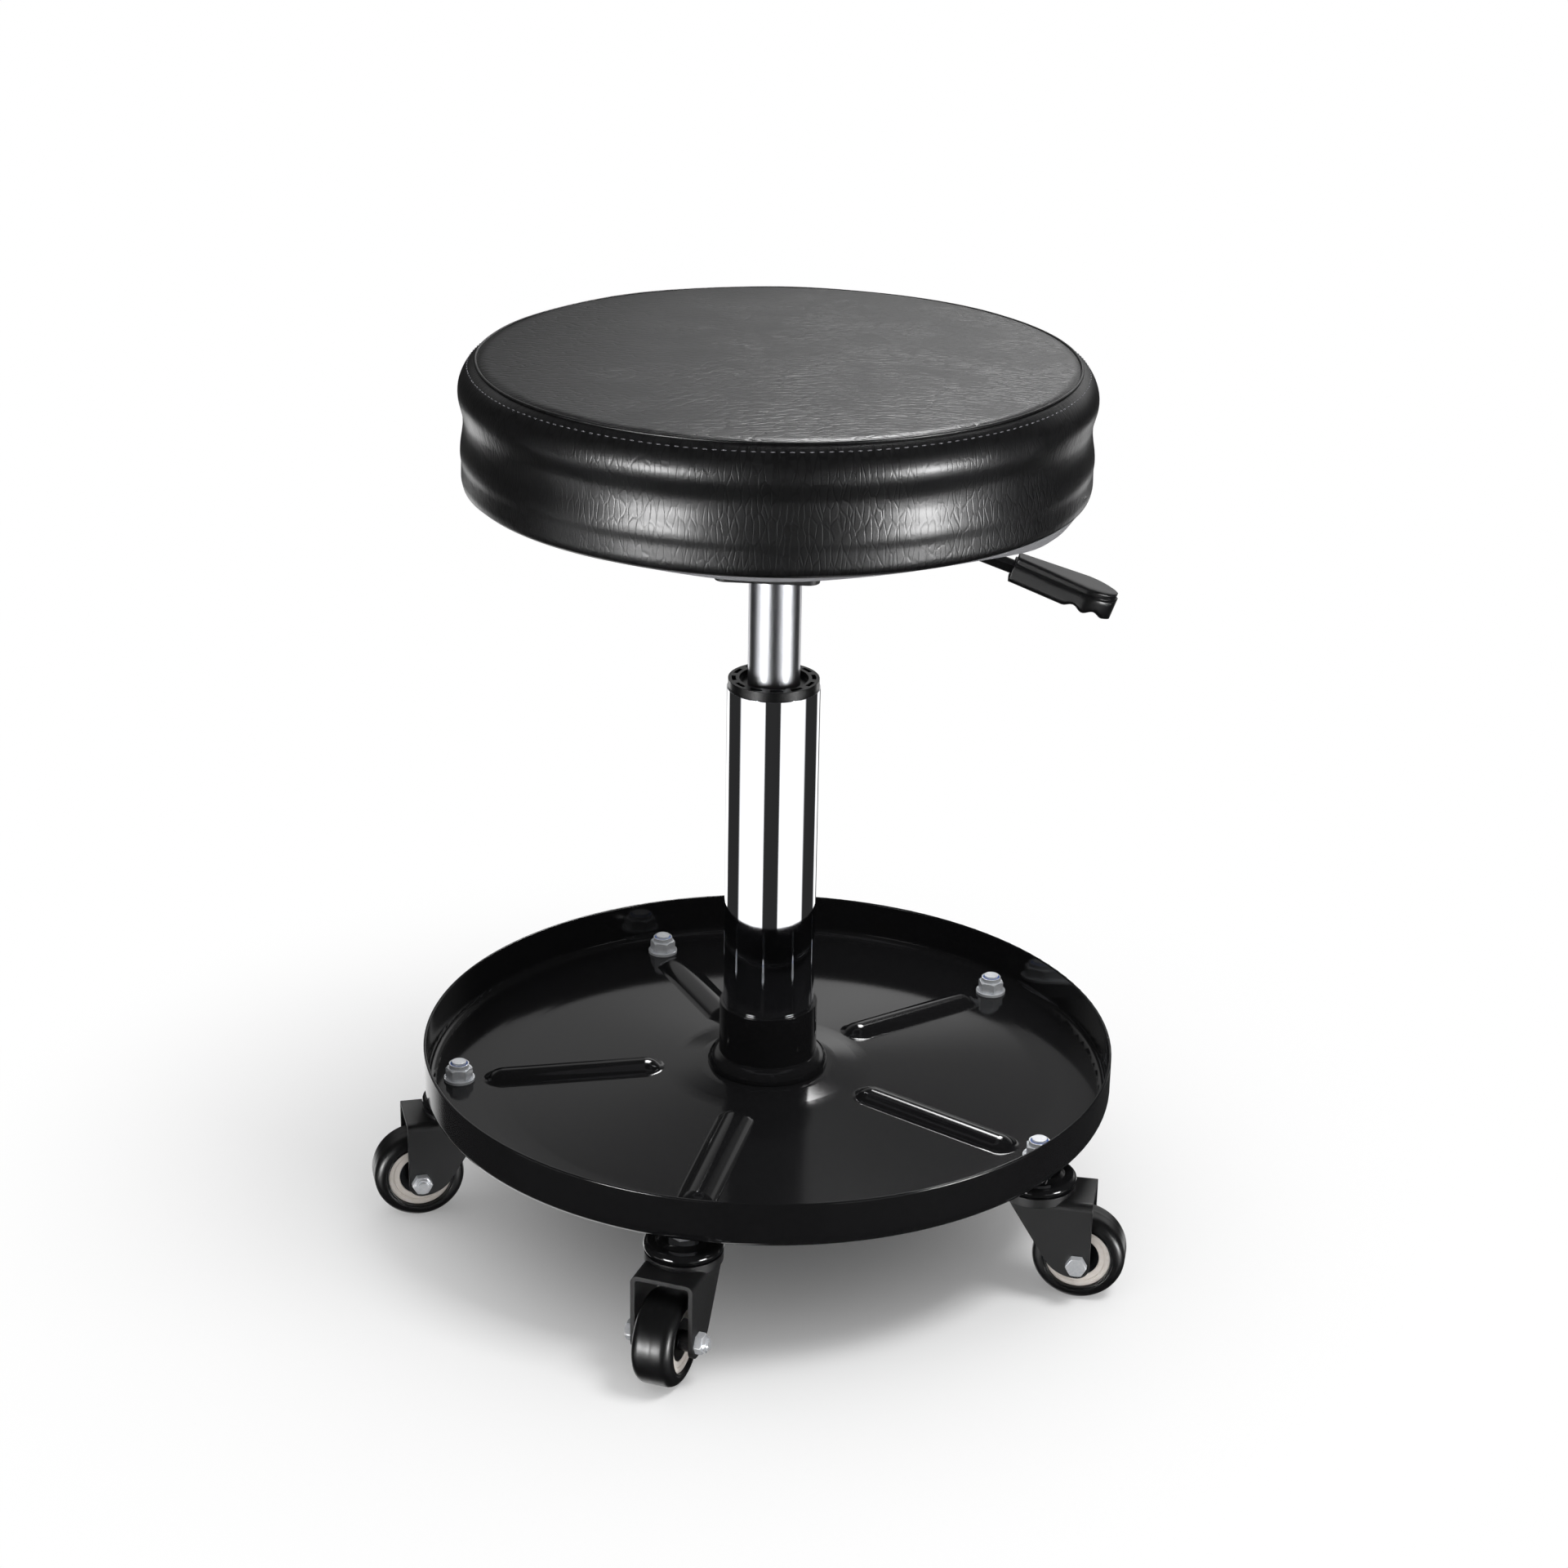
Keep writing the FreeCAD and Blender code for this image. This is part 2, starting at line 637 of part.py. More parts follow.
def make_dust_cloth():
    """Cloth under the seat: flat where the plate clamps it, slack and bellied out to its stapled edge."""
    edge = seat_foot_radius - cover_thickness - free_gap
    staples = edge - dust_cloth_margin
    slack = math.hypot(flange_x, flange_y) / 2 + free_gap
    middle = (slack + staples) / 2
    under = cloth_top_z - dust_cloth
    section = [
        line((0, 0, cloth_top_z), (0, 0, under)),
        line((0, 0, under), (slack, 0, under)),
        arc((slack, 0, under), (middle, 0, under - dust_cloth_sag), (staples, 0, under)),
        line((staples, 0, under), (edge, 0, under)),
        line((edge, 0, under), (edge, 0, cloth_top_z)),
        line((edge, 0, cloth_top_z), (staples, 0, cloth_top_z)),
        arc((staples, 0, cloth_top_z), (middle, 0, cloth_top_z - dust_cloth_sag), (slack, 0, cloth_top_z)),
        line((slack, 0, cloth_top_z), (0, 0, cloth_top_z)),
    ]
    cloth = turned(section)
    for place in screw_places():
        hole = disc(screw_radius + hole_play, under - dust_cloth_sag - 1, cloth_top_z + 1)
        hole.translate(place)
        cloth = cloth.cut(hole)
    return cloth.Solids[0]


def screw_places():
    return [Vector(sx * screw_x, sy * screw_y, 0) for sx in (-1, 1) for sy in (-1, 1)]


def make_board():
    """Plywood seat board, bored and counterbored from above for its tee nuts."""
    board = disc(board_radius, board_under_z, board_top_z)
    for place in screw_places():
        bore = disc(tee_barrel_radius + seat_fit, board_under_z - 1, board_top_z + 1)
        seat = disc(tee_flange_radius + seat_fit, board_top_z - tee_flange, board_top_z + 1)
        for cutter in (bore, seat):
            cutter.translate(place)
            board = board.cut(cutter)
    return board.Solids[0]


def make_tee_nut():
    barrel_foot = board_under_z + board_thickness / 4
    nut = disc(tee_barrel_radius, barrel_foot, board_top_z)
    nut = nut.fuse(disc(tee_flange_radius, board_top_z - tee_flange, board_top_z))
    nut = nut.cut(disc(screw_radius + seat_fit, barrel_foot - 1, board_top_z + 1))
    return nut.removeSplitter().Solids[0]


def make_screw():
    """Pan-head screw that holds the plate to the board."""
    head_z = flange_under_z - screw_head
    rise = screw_head * math.sqrt(0.5)
    section = [
        line((0, 0, head_z), (screw_radius, 0, head_z)),
        arc((screw_radius, 0, head_z),
            (screw_radius + (screw_head_radius - screw_radius) * math.sqrt(0.5), 0, flange_under_z - rise),
            (screw_head_radius, 0, flange_under_z)),
        line((screw_head_radius, 0, flange_under_z), (screw_radius, 0, flange_under_z)),
        line((screw_radius, 0, flange_under_z), (screw_radius, 0, flange_under_z + screw_length)),
        line((screw_radius, 0, flange_under_z + screw_length), (0, 0, flange_under_z + screw_length)),
        line((0, 0, flange_under_z + screw_length), (0, 0, head_z)),
    ]
    return turned(section)


def make_seat_plate():
    """Pressed plate: a screw flange round a deep box, which holds the lift's end and the lever."""
    wall = plate_sheet
    flange = rounded_plate(flange_x, flange_y, flange_corner, flange_under_z, flange_top_z)
    box = rounded_plate(plate_box_x, plate_box_y, plate_corner, plate_bottom_z, flange_top_z)
    hollow = rounded_plate(plate_box_x - 2 * wall, plate_box_y - 2 * wall, plate_corner - wall,
                           plate_bottom_z + wall, flange_top_z + 1)
    plate = flange.fuse(box).cut(hollow)
    plate = plate.cut(disc(taper_outer, plate_bottom_z - 1, plate_bottom_z + wall + 1))
    bush_hole = Part.makeCylinder(lever_bush_radius + seat_fit, 2 * wall,
                                  Vector(lever_pivot_x - wall, 0, lever_z), Vector(1, 0, 0))
    plate = plate.cut(bush_hole)
    for place in screw_places():
        hole = disc(screw_radius + hole_play, flange_under_z - 1, flange_top_z + 1)
        hole.translate(place)
        plate = plate.cut(hole)
    return plate.removeSplitter().Solids[0]


def make_taper_socket():
    """Steel boss welded into the plate's floor, bored to the taper of the lift tube."""
    top = tube_top_z - tube_cap
    share = (top - plate_bottom_z) / (tube_top_z - plate_bottom_z)
    bore_top = tube_radius - taper_loss * share + seat_fit
    section = [(tube_radius + seat_fit, plate_bottom_z), (taper_outer, plate_bottom_z), (taper_outer, top),
               (bore_top, top)]
    return turned(ring_section(section))


def make_lever_bush():
    """Plastic bush in the side of the plate's box. Its bell mouths let the rod rock."""
    half = lever_bush_width / 2
    wall = plate_sheet
    centre = lever_pivot_x
    neck = lever_radius + free_gap
    mouth = neck + (half + neck) * math.tan(math.radians(lever_lift_deg))
    section = [line((centre - half, mouth, 0), (centre - wall / 2, lever_bush_radius, 0)),
               line((centre - wall / 2, lever_bush_radius, 0), (centre + wall / 2, lever_bush_radius, 0)),
               line((centre + wall / 2, lever_bush_radius, 0), (centre + half, mouth, 0)),
               line((centre + half, mouth, 0), (centre, neck, 0)),
               line((centre, neck, 0), (centre - half, mouth, 0))]
    bush = turned(section, ORIGIN, Vector(1, 0, 0))
    bush.translate(Vector(0, 0, lever_z))
    return bush


# Lever


def lever_points():
    """Rod's inner end, bend and outer end, in the XZ plane."""
    slope = math.radians(lever_slope_deg)
    bend = Vector(lever_pivot_x + lever_bend_out, 0, lever_z)
    run = Vector(math.cos(slope), 0, -math.sin(slope))
    return Vector(-lever_inner, 0, lever_z), bend, run


def make_lever_rod():
    """Bent rod: level through the plate's box, then sloping down to the handle."""
    inner, bend, run = lever_points()
    turn = math.radians(lever_slope_deg)
    cut_back = lever_bend_radius * math.tan(turn / 2)
    start = bend - Vector(cut_back, 0, 0)
    finish = bend + run * cut_back
    centre = start - Vector(0, 0, lever_bend_radius)
    middle = centre + Vector(math.sin(turn / 2), 0, math.cos(turn / 2)) * lever_bend_radius
    path = Part.Wire([Part.makeLine(inner, start),
                      Part.Arc(start, middle, finish).toShape(),
                      Part.makeLine(finish, bend + run * (lever_run + grip_socket))])
    ring = Part.Wire(Part.makeCircle(lever_radius, inner, Vector(1, 0, 0)))
    return path.makePipeShell([ring], True, False).Solids[0]


def make_handle():
    """Moulded paddle: flared plan, rounded tip, finger grips below and a raised lid on top."""
    half_root = grip_root_width / 2
    half = grip_width / 2
    tip = grip_length
    lid_foot = grip_above - grip_lid

    def plan(inset, bottom, top):
        outline = [
            line((inset, -half_root + inset, bottom), (grip_swell, -half + inset, bottom)),
            arc((grip_swell, -half + inset, bottom),
                (tip - inset, 0, bottom),
                (grip_swell, half - inset, bottom)),
            line((grip_swell, half - inset, bottom), (inset, half_root - inset, bottom)),
            line((inset, half_root - inset, bottom), (inset, -half_root + inset, bottom)),
        ]
        return Part.Face(Part.Wire(outline)).extrude(Vector(0, 0, top - bottom))

    body = plan(0, grip_above - grip_depth, lid_foot)
    lid = plan(grip_lid_inset, lid_foot, grip_above)
    grip = body.fuse(lid)
    under = grip_above - grip_depth
    for place in (finger_start, finger_start + finger_pitch):
        centre_z = under - finger_radius + finger_depth
        finger = Part.makeCylinder(finger_radius, 2 * grip_width,
                                   Vector(place, -grip_width, centre_z), Vector(0, 1, 0))
        grip = grip.cut(finger)
    bore = Part.makeCylinder(lever_radius + seat_fit, grip_socket + seat_fit, ORIGIN, Vector(1, 0, 0))
    grip = grip.cut(bore).removeSplitter().Solids[0]
    inner, bend, run = lever_points()
    grip.rotate(ORIGIN, Vector(0, 1, 0), lever_slope_deg)
    grip.translate(bend + run * lever_run)
    return grip


# Casters


def make_stem():
    """Threaded stem with its hexagon, the journal that the fork turns on and the riveted foot."""
    rivet_top = crown_under_z - free_gap
    stem_top = floor_z + stem_washer_thickness + lock_nut_hex + lock_nut_collar + stem_show
    journal_top = race_top_z + race_hub_rise
    section = [(0, rivet_top - rivet_height), (rivet_radius - rivet_height / 2, rivet_top - rivet_height),
               (rivet_radius, rivet_top), (king_radius, rivet_top), (king_radius, journal_top),
               (stem_radius, journal_top), (stem_radius, stem_top), (0, stem_top)]
    shoulder = hexagon(shoulder_flats, journal_top, tray_under_z)
    return turned(ring_section(section)).fuse(shoulder).removeSplitter().Solids[0]


def make_top_race():
    """Upper race: a pressed dish with a raised hub and a groove for the balls."""
    edge = race_under_z + top_race_depth / 2
    bore = king_radius + seat_fit
    slope = race_hub_rise
    lower = top_race_radius - top_race_round
    upper = lower - top_race_round
    section = [
        line((bore, 0, race_under_z), (lower, 0, race_under_z)),
        arc((lower, 0, race_under_z), (top_race_radius, 0, edge), (upper, 0, race_top_z)),
        line((upper, 0, race_top_z), (top_race_hub + slope, 0, race_top_z)),
        line((top_race_hub + slope, 0, race_top_z), (top_race_hub, 0, race_top_z + race_hub_rise)),
        line((top_race_hub, 0, race_top_z + race_hub_rise), (bore, 0, race_top_z + race_hub_rise)),
        line((bore, 0, race_top_z + race_hub_rise), (bore, 0, race_under_z)),
    ]
    return turned(section).cut(ball_groove(free_gap)).Solids[0]


def ball_groove(clearance):
    """Diamond-sectioned ring round the balls, which cuts the V groove of either race."""
    reach = (ball_radius + clearance) * math.sqrt(2)
    return turned(ring_section([(ball_circle - reach, ball_z), (ball_circle, ball_z - reach),
                                (ball_circle + reach, ball_z), (ball_circle, ball_z + reach)]))


def make_balls():
    balls = []
    for index in range(ball_count):
        around = 2 * math.pi * index / ball_count
        place = Vector(ball_circle * math.cos(around), ball_circle * math.sin(around), ball_z)
        balls.append(Part.makeSphere(ball_radius, place))
    return balls


def make_fork():
    """Pressed fork: a crown with a round race and two tapering legs, bent from one sheet."""
    foot = axle_z - leg_drop
    length = crown_reach + caster_trail + leg_back
    gap_bend = fork_bend - fork_plate
    outer = Part.makeBox(length, fork_width, crown_top_z - foot, Vector(-crown_reach, -leg_outer, foot))
    along = [e for e in outer.Edges
             if abs(e.tangentAt(e.FirstParameter).x) > 0.99 and e.BoundBox.ZMin > crown_top_z - 1e-6]
    outer = outer.makeFillet(fork_bend, along)
    inside = Part.makeBox(length + 2, fork_gap, crown_under_z - foot + 1,
                          Vector(-crown_reach - 1, -fork_gap / 2, foot - 1))
    along = [e for e in inside.Edges
             if abs(e.tangentAt(e.FirstParameter).x) > 0.99 and abs(e.BoundBox.ZMin - crown_under_z) < 1e-6]
    inside = inside.makeFillet(gap_bend, along)
    fork = outer.cut(inside).common(leg_side())
    fork = fork.fuse(tube(race_radius, king_radius + running_fit, crown_under_z, race_seat_z))
    fork = fork.cut(disc(king_radius + running_fit, crown_under_z - 1, race_seat_z + 1))
    fork = fork.cut(ball_groove(seat_fit))
    fork = fork.cut(across(disc(axle_radius + seat_fit, -fork_width, fork_width)))
    return fork.removeSplitter().Solids[0]


def leg_side():
    """Side view of the legs: a straight back, a rounded end under the axle and a slanting front."""
    foot = axle_z - leg_drop
    back = caster_trail + leg_back
    end = Vector(caster_trail, 0, foot)
    corner = Vector(math.sqrt(0.5), 0, 1 - math.sqrt(0.5)) * leg_back
    heel = end + UP * leg_heel_radius
    front = Vector(-crown_reach, 0, crown_under_z)
    reach = heel - front
    slant = math.atan2(reach.z, reach.x) - math.asin(leg_heel_radius / math.hypot(reach.x, reach.z))
    half_way = heel + Vector(math.sin(slant / 2), 0, -math.cos(slant / 2)) * leg_heel_radius
    touch = heel + Vector(math.sin(slant), 0, -math.cos(slant)) * leg_heel_radius
    top = crown_top_z
    side = Part.Wire([
        Part.makeLine(Vector(-crown_reach, 0, top), Vector(back, 0, top)),
        Part.makeLine(Vector(back, 0, top), Vector(back, 0, foot + leg_back)),
        Part.Arc(Vector(back, 0, foot + leg_back), end + corner, end).toShape(),
        Part.Arc(end, half_way, touch).toShape(),
        Part.makeLine(touch, front),
        Part.makeLine(front, Vector(-crown_reach, 0, top)),
    ])
    solid = Part.Face(side).extrude(Vector(0, 2 * fork_width, 0))
    solid.translate(Vector(0, -fork_width, 0))
    return solid


def make_axle():
    """Axle bolt with its head on one leg, and the lock nut on the other."""
    head = chamfered_hexagon(axle_flats, -leg_outer - bolt_head, -leg_outer)
    head.rotate(Vector(0, 0, -leg_outer - bolt_head / 2), Vector(1, 0, 0), 180)
    hex_top = leg_outer + axle_nut_hex
    nut_top = hex_top + axle_nut_collar
    tip = nut_top + axle_show
    bolt = disc(axle_radius, -leg_outer - bolt_head / 2, tip).fuse(head).removeSplitter().Solids[0]
    nut = chamfered_hexagon(axle_flats, leg_outer, hex_top)
    nut = nut.fuse(disc(axle_radius + axle_nut_wall, leg_outer, nut_top))
    nut = nut.cut(disc(axle_radius + seat_fit, leg_outer - 1, tip + 1)).removeSplitter().Solids[0]
    return across(bolt), across(nut)


def make_tread():
    """Tread with rounded shoulders, moulded round the hub."""
    half = wheel_width / 2
    flat = half - tread_shoulder
    mid = tread_shoulder * math.sqrt(0.5)
    shoulder = wheel_radius - tread_shoulder
    inner = hub_radius + seat_fit
    section = [
        line((inner, 0, -half), (shoulder, 0, -half)),
        arc((shoulder, 0, -half), (shoulder + mid, 0, -flat - mid), (wheel_radius, 0, -flat)),
        line((wheel_radius, 0, -flat), (wheel_radius, 0, flat)),
        arc((wheel_radius, 0, flat), (shoulder + mid, 0, flat + mid), (shoulder, 0, half)),
        line((shoulder, 0, half), (inner, 0, half)),
        line((inner, 0, half), (inner, 0, -half)),
    ]
    return across(turned(section))


def make_hub():
    """Plastic hub with a stepped face on each side, bored for the bearing."""
    half = wheel_width / 2 - hub_recess
    bore = bearing_radius + seat_fit
    ring = (hub_radius + bearing_radius) / 2
    step = hub_recess / 2
    section = [(bore, -half + step), (ring, -half + step), (ring, -half), (hub_radius, -half),
               (hub_radius, half), (ring, half), (ring, half - step), (bore, half - step)]
    return across(turned(ring_section(section)))


def make_wheel_bearing():
    """Sealed bearing in the hub, with spacers that reach to the fork's legs."""
    bore = axle_radius + running_fit
    seal = wheel_width / 2 - hub_recess - bearing_inset
    end = fork_gap / 2 - free_gap
    section = [(bore, -end), (spacer_radius, -end), (spacer_radius, -seal), (bearing_radius, -seal),
               (bearing_radius, seal), (spacer_radius, seal), (spacer_radius, end), (bore, end)]
    return across(turned(ring_section(section)))


def make_lock_nut():
    """Nylon-insert nut on a caster stem, without the insert."""
    foot = floor_z + stem_washer_thickness
    hex_top = foot + lock_nut_hex
    collar_top = hex_top + lock_nut_collar
    nut = chamfered_hexagon(lock_nut_flats, foot, hex_top, chamfer_bottom=True)
    nut = nut.fuse(disc(collar_radius, foot + 1, collar_top))
    nut = nut.cut(disc(stem_radius + seat_fit, foot - 1, collar_top + 1))
    return nut.cut(disc(insert_radius, hex_top, collar_top + 1)).removeSplitter().Solids[0]


def build():
    os.makedirs("parts", exist_ok=True)

    save("tray", make_tray())
    save("tray_socket", make_socket())
    save("column_tube", make_column())
    save("column_bush", make_bush())
    base_bore = rod_radius + running_fit
    save("column_base_plate", tube(column_bore - seat_fit, base_bore, socket_bottom_z, base_top_z))
    washer_top = floor_z + stem_washer_thickness
    washer = tube(stem_washer_radius, stem_radius + hole_play, floor_z, washer_top)
    insert_foot = washer_top + lock_nut_hex
    insert_top = insert_foot + lock_nut_collar - free_gap
    insert = tube(insert_radius - seat_fit, stem_radius + seat_fit, insert_foot, insert_top)
    save("caster_stems", *at_every_stem(make_stem()))
    save("caster_top_races", *at_every_stem(make_top_race()))
    save("stem_washers", *at_every_stem(washer))
    save("stem_lock_nuts", *at_every_stem(make_lock_nut()))
    save("lock_nut_inserts", *at_every_stem(insert))

    rod, clip, bearing, bumper = make_rod()
    save("piston_rod", rod)
    save("rod_clip", clip)
    save("thrust_bearing", bearing)
    save("bump_stop", bumper)
    save("piston", make_piston())

    guide_bore = rod_radius + running_fit
    save("pressure_tube", make_pressure_tube())
    save("rod_guide", tube(tube_bore - seat_fit, guide_bore, tube_bottom_z, guide_top_z))
    save("valve_block", make_valve())
    save("seat_plate", make_seat_plate())
    save("taper_socket", make_taper_socket())
    save("lever_bush", make_lever_bush())
    save("seat_board", make_board())
    save("seat_foam", make_foam())
    save("seat_cover", make_cover())
    save("seat_dust_cloth", make_dust_cloth())
    save("seat_screws", *[make_screw().translated(place) for place in screw_places()])
    save("tee_nuts", *[make_tee_nut().translated(place) for place in screw_places()])

    save("lever_rod", make_lever_rod())
    save("lever_handle", make_handle())
    save("release_pin", disc(pin_radius, pin_foot_z, pin_top_z))

    fork, balls, axle = make_fork(), make_balls(), make_axle()
    tread, hub, bearing = make_tread(), make_hub(), make_wheel_bearing()
    for index in range(caster_count):
        swivel = swivel_rest_deg[index]
        name = "caster_%d_" % (index + 1)
        save(name + "fork", at_stem(fork, index, swivel))
        save(name + "balls", *[at_stem(ball, index, swivel) for ball in balls])
        save(name + "axle", *[at_stem(piece, index, swivel) for piece in axle])
        save(name + "tread", at_stem(tread, index, swivel))
        save(name + "hub", at_stem(hub, index, swivel))
        save(name + "bearing", at_stem(bearing, index, swivel))


build()
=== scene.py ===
# %% [markdown]
# # A rolling work stool
#
# A round padded seat stands on a gas lift, over a round parts tray on five swivel casters. The hard
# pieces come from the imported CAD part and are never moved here. This lesson gives them their finishes,
# and makes the pieces that need soft or finer forms: the stuffed cushion with its seam, the cloth under
# it, the moulded lever grip, the weld bead, and the tyres and hubs of the casters.

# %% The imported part
import json
import math

import bmesh
import bpy
from mathutils import Matrix, Quaternion, Vector, noise
from mathutils.bvhtree import BVHTree


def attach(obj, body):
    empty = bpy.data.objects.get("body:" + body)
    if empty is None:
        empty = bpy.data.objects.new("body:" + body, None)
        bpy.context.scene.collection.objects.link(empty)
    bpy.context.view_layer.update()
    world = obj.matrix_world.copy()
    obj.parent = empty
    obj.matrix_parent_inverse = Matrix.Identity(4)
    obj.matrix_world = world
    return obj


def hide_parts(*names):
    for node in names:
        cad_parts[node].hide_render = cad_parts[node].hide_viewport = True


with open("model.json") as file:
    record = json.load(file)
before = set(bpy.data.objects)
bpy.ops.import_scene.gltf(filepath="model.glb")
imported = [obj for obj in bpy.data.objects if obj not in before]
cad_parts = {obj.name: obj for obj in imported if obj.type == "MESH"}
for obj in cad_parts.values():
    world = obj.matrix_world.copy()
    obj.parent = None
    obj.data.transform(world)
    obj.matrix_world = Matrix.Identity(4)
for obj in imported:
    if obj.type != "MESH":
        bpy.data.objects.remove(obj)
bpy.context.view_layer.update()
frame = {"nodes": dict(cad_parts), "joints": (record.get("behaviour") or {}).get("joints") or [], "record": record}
MM = 0.001

# %% [markdown]
# ## Camera
#
# The camera looks down on the stool from the front, a little to the lever's side. A short lens close by
# would spread the column's edges apart. A long lens from well back keeps them nearly parallel, so that is
# what is used. A slight roll leans the picture.

# %% Camera
CAMERA_PLACE = Vector((138.3, -1603.9, 908.9)) * MM
CAMERA_TARGET = Vector((6.4, 0.5, 253.9)) * MM
CAMERA_LENS = 74.0
CAMERA_ROLL = math.radians(1.05)

camera = bpy.data.objects.new("camera", bpy.data.cameras.new("camera"))
camera.data.lens = CAMERA_LENS
camera.location = CAMERA_PLACE
camera.rotation_mode = "QUATERNION"
aim = (CAMERA_TARGET - CAMERA_PLACE).to_track_quat("-Z", "Y")
camera.rotation_quaternion = aim @ Quaternion((0, 0, 1), CAMERA_ROLL)
bpy.context.scene.collection.objects.link(camera)
bpy.context.scene.camera = camera
print("camera stands", round((CAMERA_TARGET - CAMERA_PLACE).length, 3), "m from its target")

# %% [markdown]
# ## Nodes and colours
#
# Every material is a small tree of shader nodes. It could be put together by hand in the shader editor. A
# script does the same with one function, which adds a node, sets it up and joins it to earlier nodes.
# Colours are written as sRGB hex, as a paint chart gives them, and are turned into the linear values that
# Blender reckons with.

# %% Node and colour helpers
MIX_FIRST, MIX_SECOND, MIX_RESULT = 6, 7, 2      # the colour sockets of a Mix node


def linear(hex_colour):
    """Linear RGBA of an sRGB colour such as 1f2a30."""
    channels = [int(hex_colour[i:i + 2], 16) / 255 for i in (0, 2, 4)]
    return tuple(c / 12.92 if c <= 0.04045 else ((c + 0.055) / 1.055) ** 2.4 for c in channels) + (1.0,)


def add(tree, kind, inputs=None, **settings):
    """Adds a shader node. An input is a value, a node's output, or a node, which means its first output."""
    node = tree.nodes.new("ShaderNode" + kind)
    for name, value in settings.items():
        setattr(node, name, value)
    for key, value in (inputs or {}).items():
        if isinstance(value, bpy.types.Node):
            value = value.outputs[0]
        if isinstance(value, bpy.types.NodeSocket):
            tree.links.new(value, node.inputs[key])
        else:
            node.inputs[key].default_value = value
    return node


def new_material(name):
    """Material with an empty node tree."""
    material = bpy.data.materials.new(name)
    material.use_nodes = True
    material.node_tree.nodes.clear()
    return material


print("sRGB 808080 is", round(linear("808080")[0], 3), "in linear light")

# %% [markdown]
# ## Floor
#
# A studio floor is painted pale and runs up into a white backdrop. One flat grid is enough here: near the
# stool it is matt paint that keeps the shadow, and further out it turns into plain white for the camera.
# Mirrors don't see the floor, because the light tent further down gives them their surroundings.

# %% Floor
FLOOR_SIZE = 40.0        # metres
SHADOW_REACH = 0.05      # metres from the middle, where the paint starts to turn white
BACKDROP_START = 0.50    # metres from the middle, from where it is all white
WHITE = (1.0, 1.0, 1.0, 1.0)

floor_bm = bmesh.new()
bmesh.ops.create_grid(floor_bm, x_segments=1, y_segments=1, size=FLOOR_SIZE / 2)
floor_mesh = bpy.data.meshes.new("floor")
floor_bm.to_mesh(floor_mesh)
floor_bm.free()
floor = bpy.data.objects.new("floor", floor_mesh)
bpy.context.scene.collection.objects.link(floor)
floor.visible_glossy = False

# Matt wall paint scatters light evenly and has no gloss of its own.
floor_paint = new_material("pale floor paint")
tree = floor_paint.node_tree
matt_paint = add(tree, "BsdfPrincipled", {"Base Color": linear("f8f8f8"), "Roughness": 0.9,
                                          "Specular IOR Level": 0.0})
place = add(tree, "TexCoord").outputs["Object"]
from_middle = add(tree, "VectorMath", {0: place}, operation="LENGTH").outputs["Value"]
white_share = add(tree, "MapRange", {"Value": from_middle, "From Min": SHADOW_REACH,
                                     "From Max": BACKDROP_START}, interpolation_type="SMOOTHSTEP")
seen_directly = add(tree, "LightPath").outputs["Is Camera Ray"]
white_seen = add(tree, "Math", {0: white_share, 1: seen_directly}, operation="MULTIPLY")
backdrop_white = add(tree, "Emission", {"Color": WHITE, "Strength": 1.0})
floor_surface = add(tree, "MixShader", {0: white_seen, 1: matt_paint, 2: backdrop_white})
add(tree, "OutputMaterial", {"Surface": floor_surface})
floor_mesh.materials.append(floor_paint)
print("floor", FLOOR_SIZE, "m wide, white from", BACKDROP_START, "m on")

# %% [markdown]
# ## Key light
#
# One soft box high on the right is the key light. A bare lamp would throw a hard shadow, so this one has
# an area. Gloss doesn't mirror it, because its image would draw a stray highlight under the cushion's
# seam.

# %% Key light
KEY_TURN = math.radians(60)      # from the camera's direction, to the camera's right
KEY_RISE = math.radians(60)
KEY_DISTANCE = 2.2
KEY_WIDTH = 0.9
KEY_HEIGHT = 0.6
KEY_POWER = 25

to_camera = (CAMERA_PLACE - CAMERA_TARGET).to_2d().normalized().to_3d()
key_side = to_camera.copy()
key_side.rotate(Quaternion((0, 0, 1), KEY_TURN))
to_key = key_side * math.cos(KEY_RISE) + Vector((0, 0, math.sin(KEY_RISE)))
key_data = bpy.data.lights.new("key_box", "AREA")
key_data.shape = "RECTANGLE"
key_data.size = KEY_WIDTH
key_data.size_y = KEY_HEIGHT
key_data.energy = KEY_POWER
key_box = bpy.data.objects.new("key_box", key_data)
key_box.location = CAMERA_TARGET + to_key * KEY_DISTANCE
key_box.rotation_mode = "QUATERNION"
key_box.rotation_quaternion = (-to_key).to_track_quat("-Z", "Y")
key_box.visible_glossy = False
bpy.context.scene.collection.objects.link(key_box)
bpy.context.scene.view_settings.view_transform = "Standard"
print("key light at", [round(c, 2) for c in key_box.location])

# %% [markdown]
# ## Light tent
#
# Black gloss and chrome show little of their own colour. What the eye reads is what they mirror, so
# reflected rays see a tent round the stool. It could be built from white cards. Here the world's shader
# draws it, because then it takes no room and has soft edges. Three values tell where a ray goes: facing
# is 1 towards the camera and -1 behind the stool, right is 1 at the camera's right, and up is the sine of
# the rise.

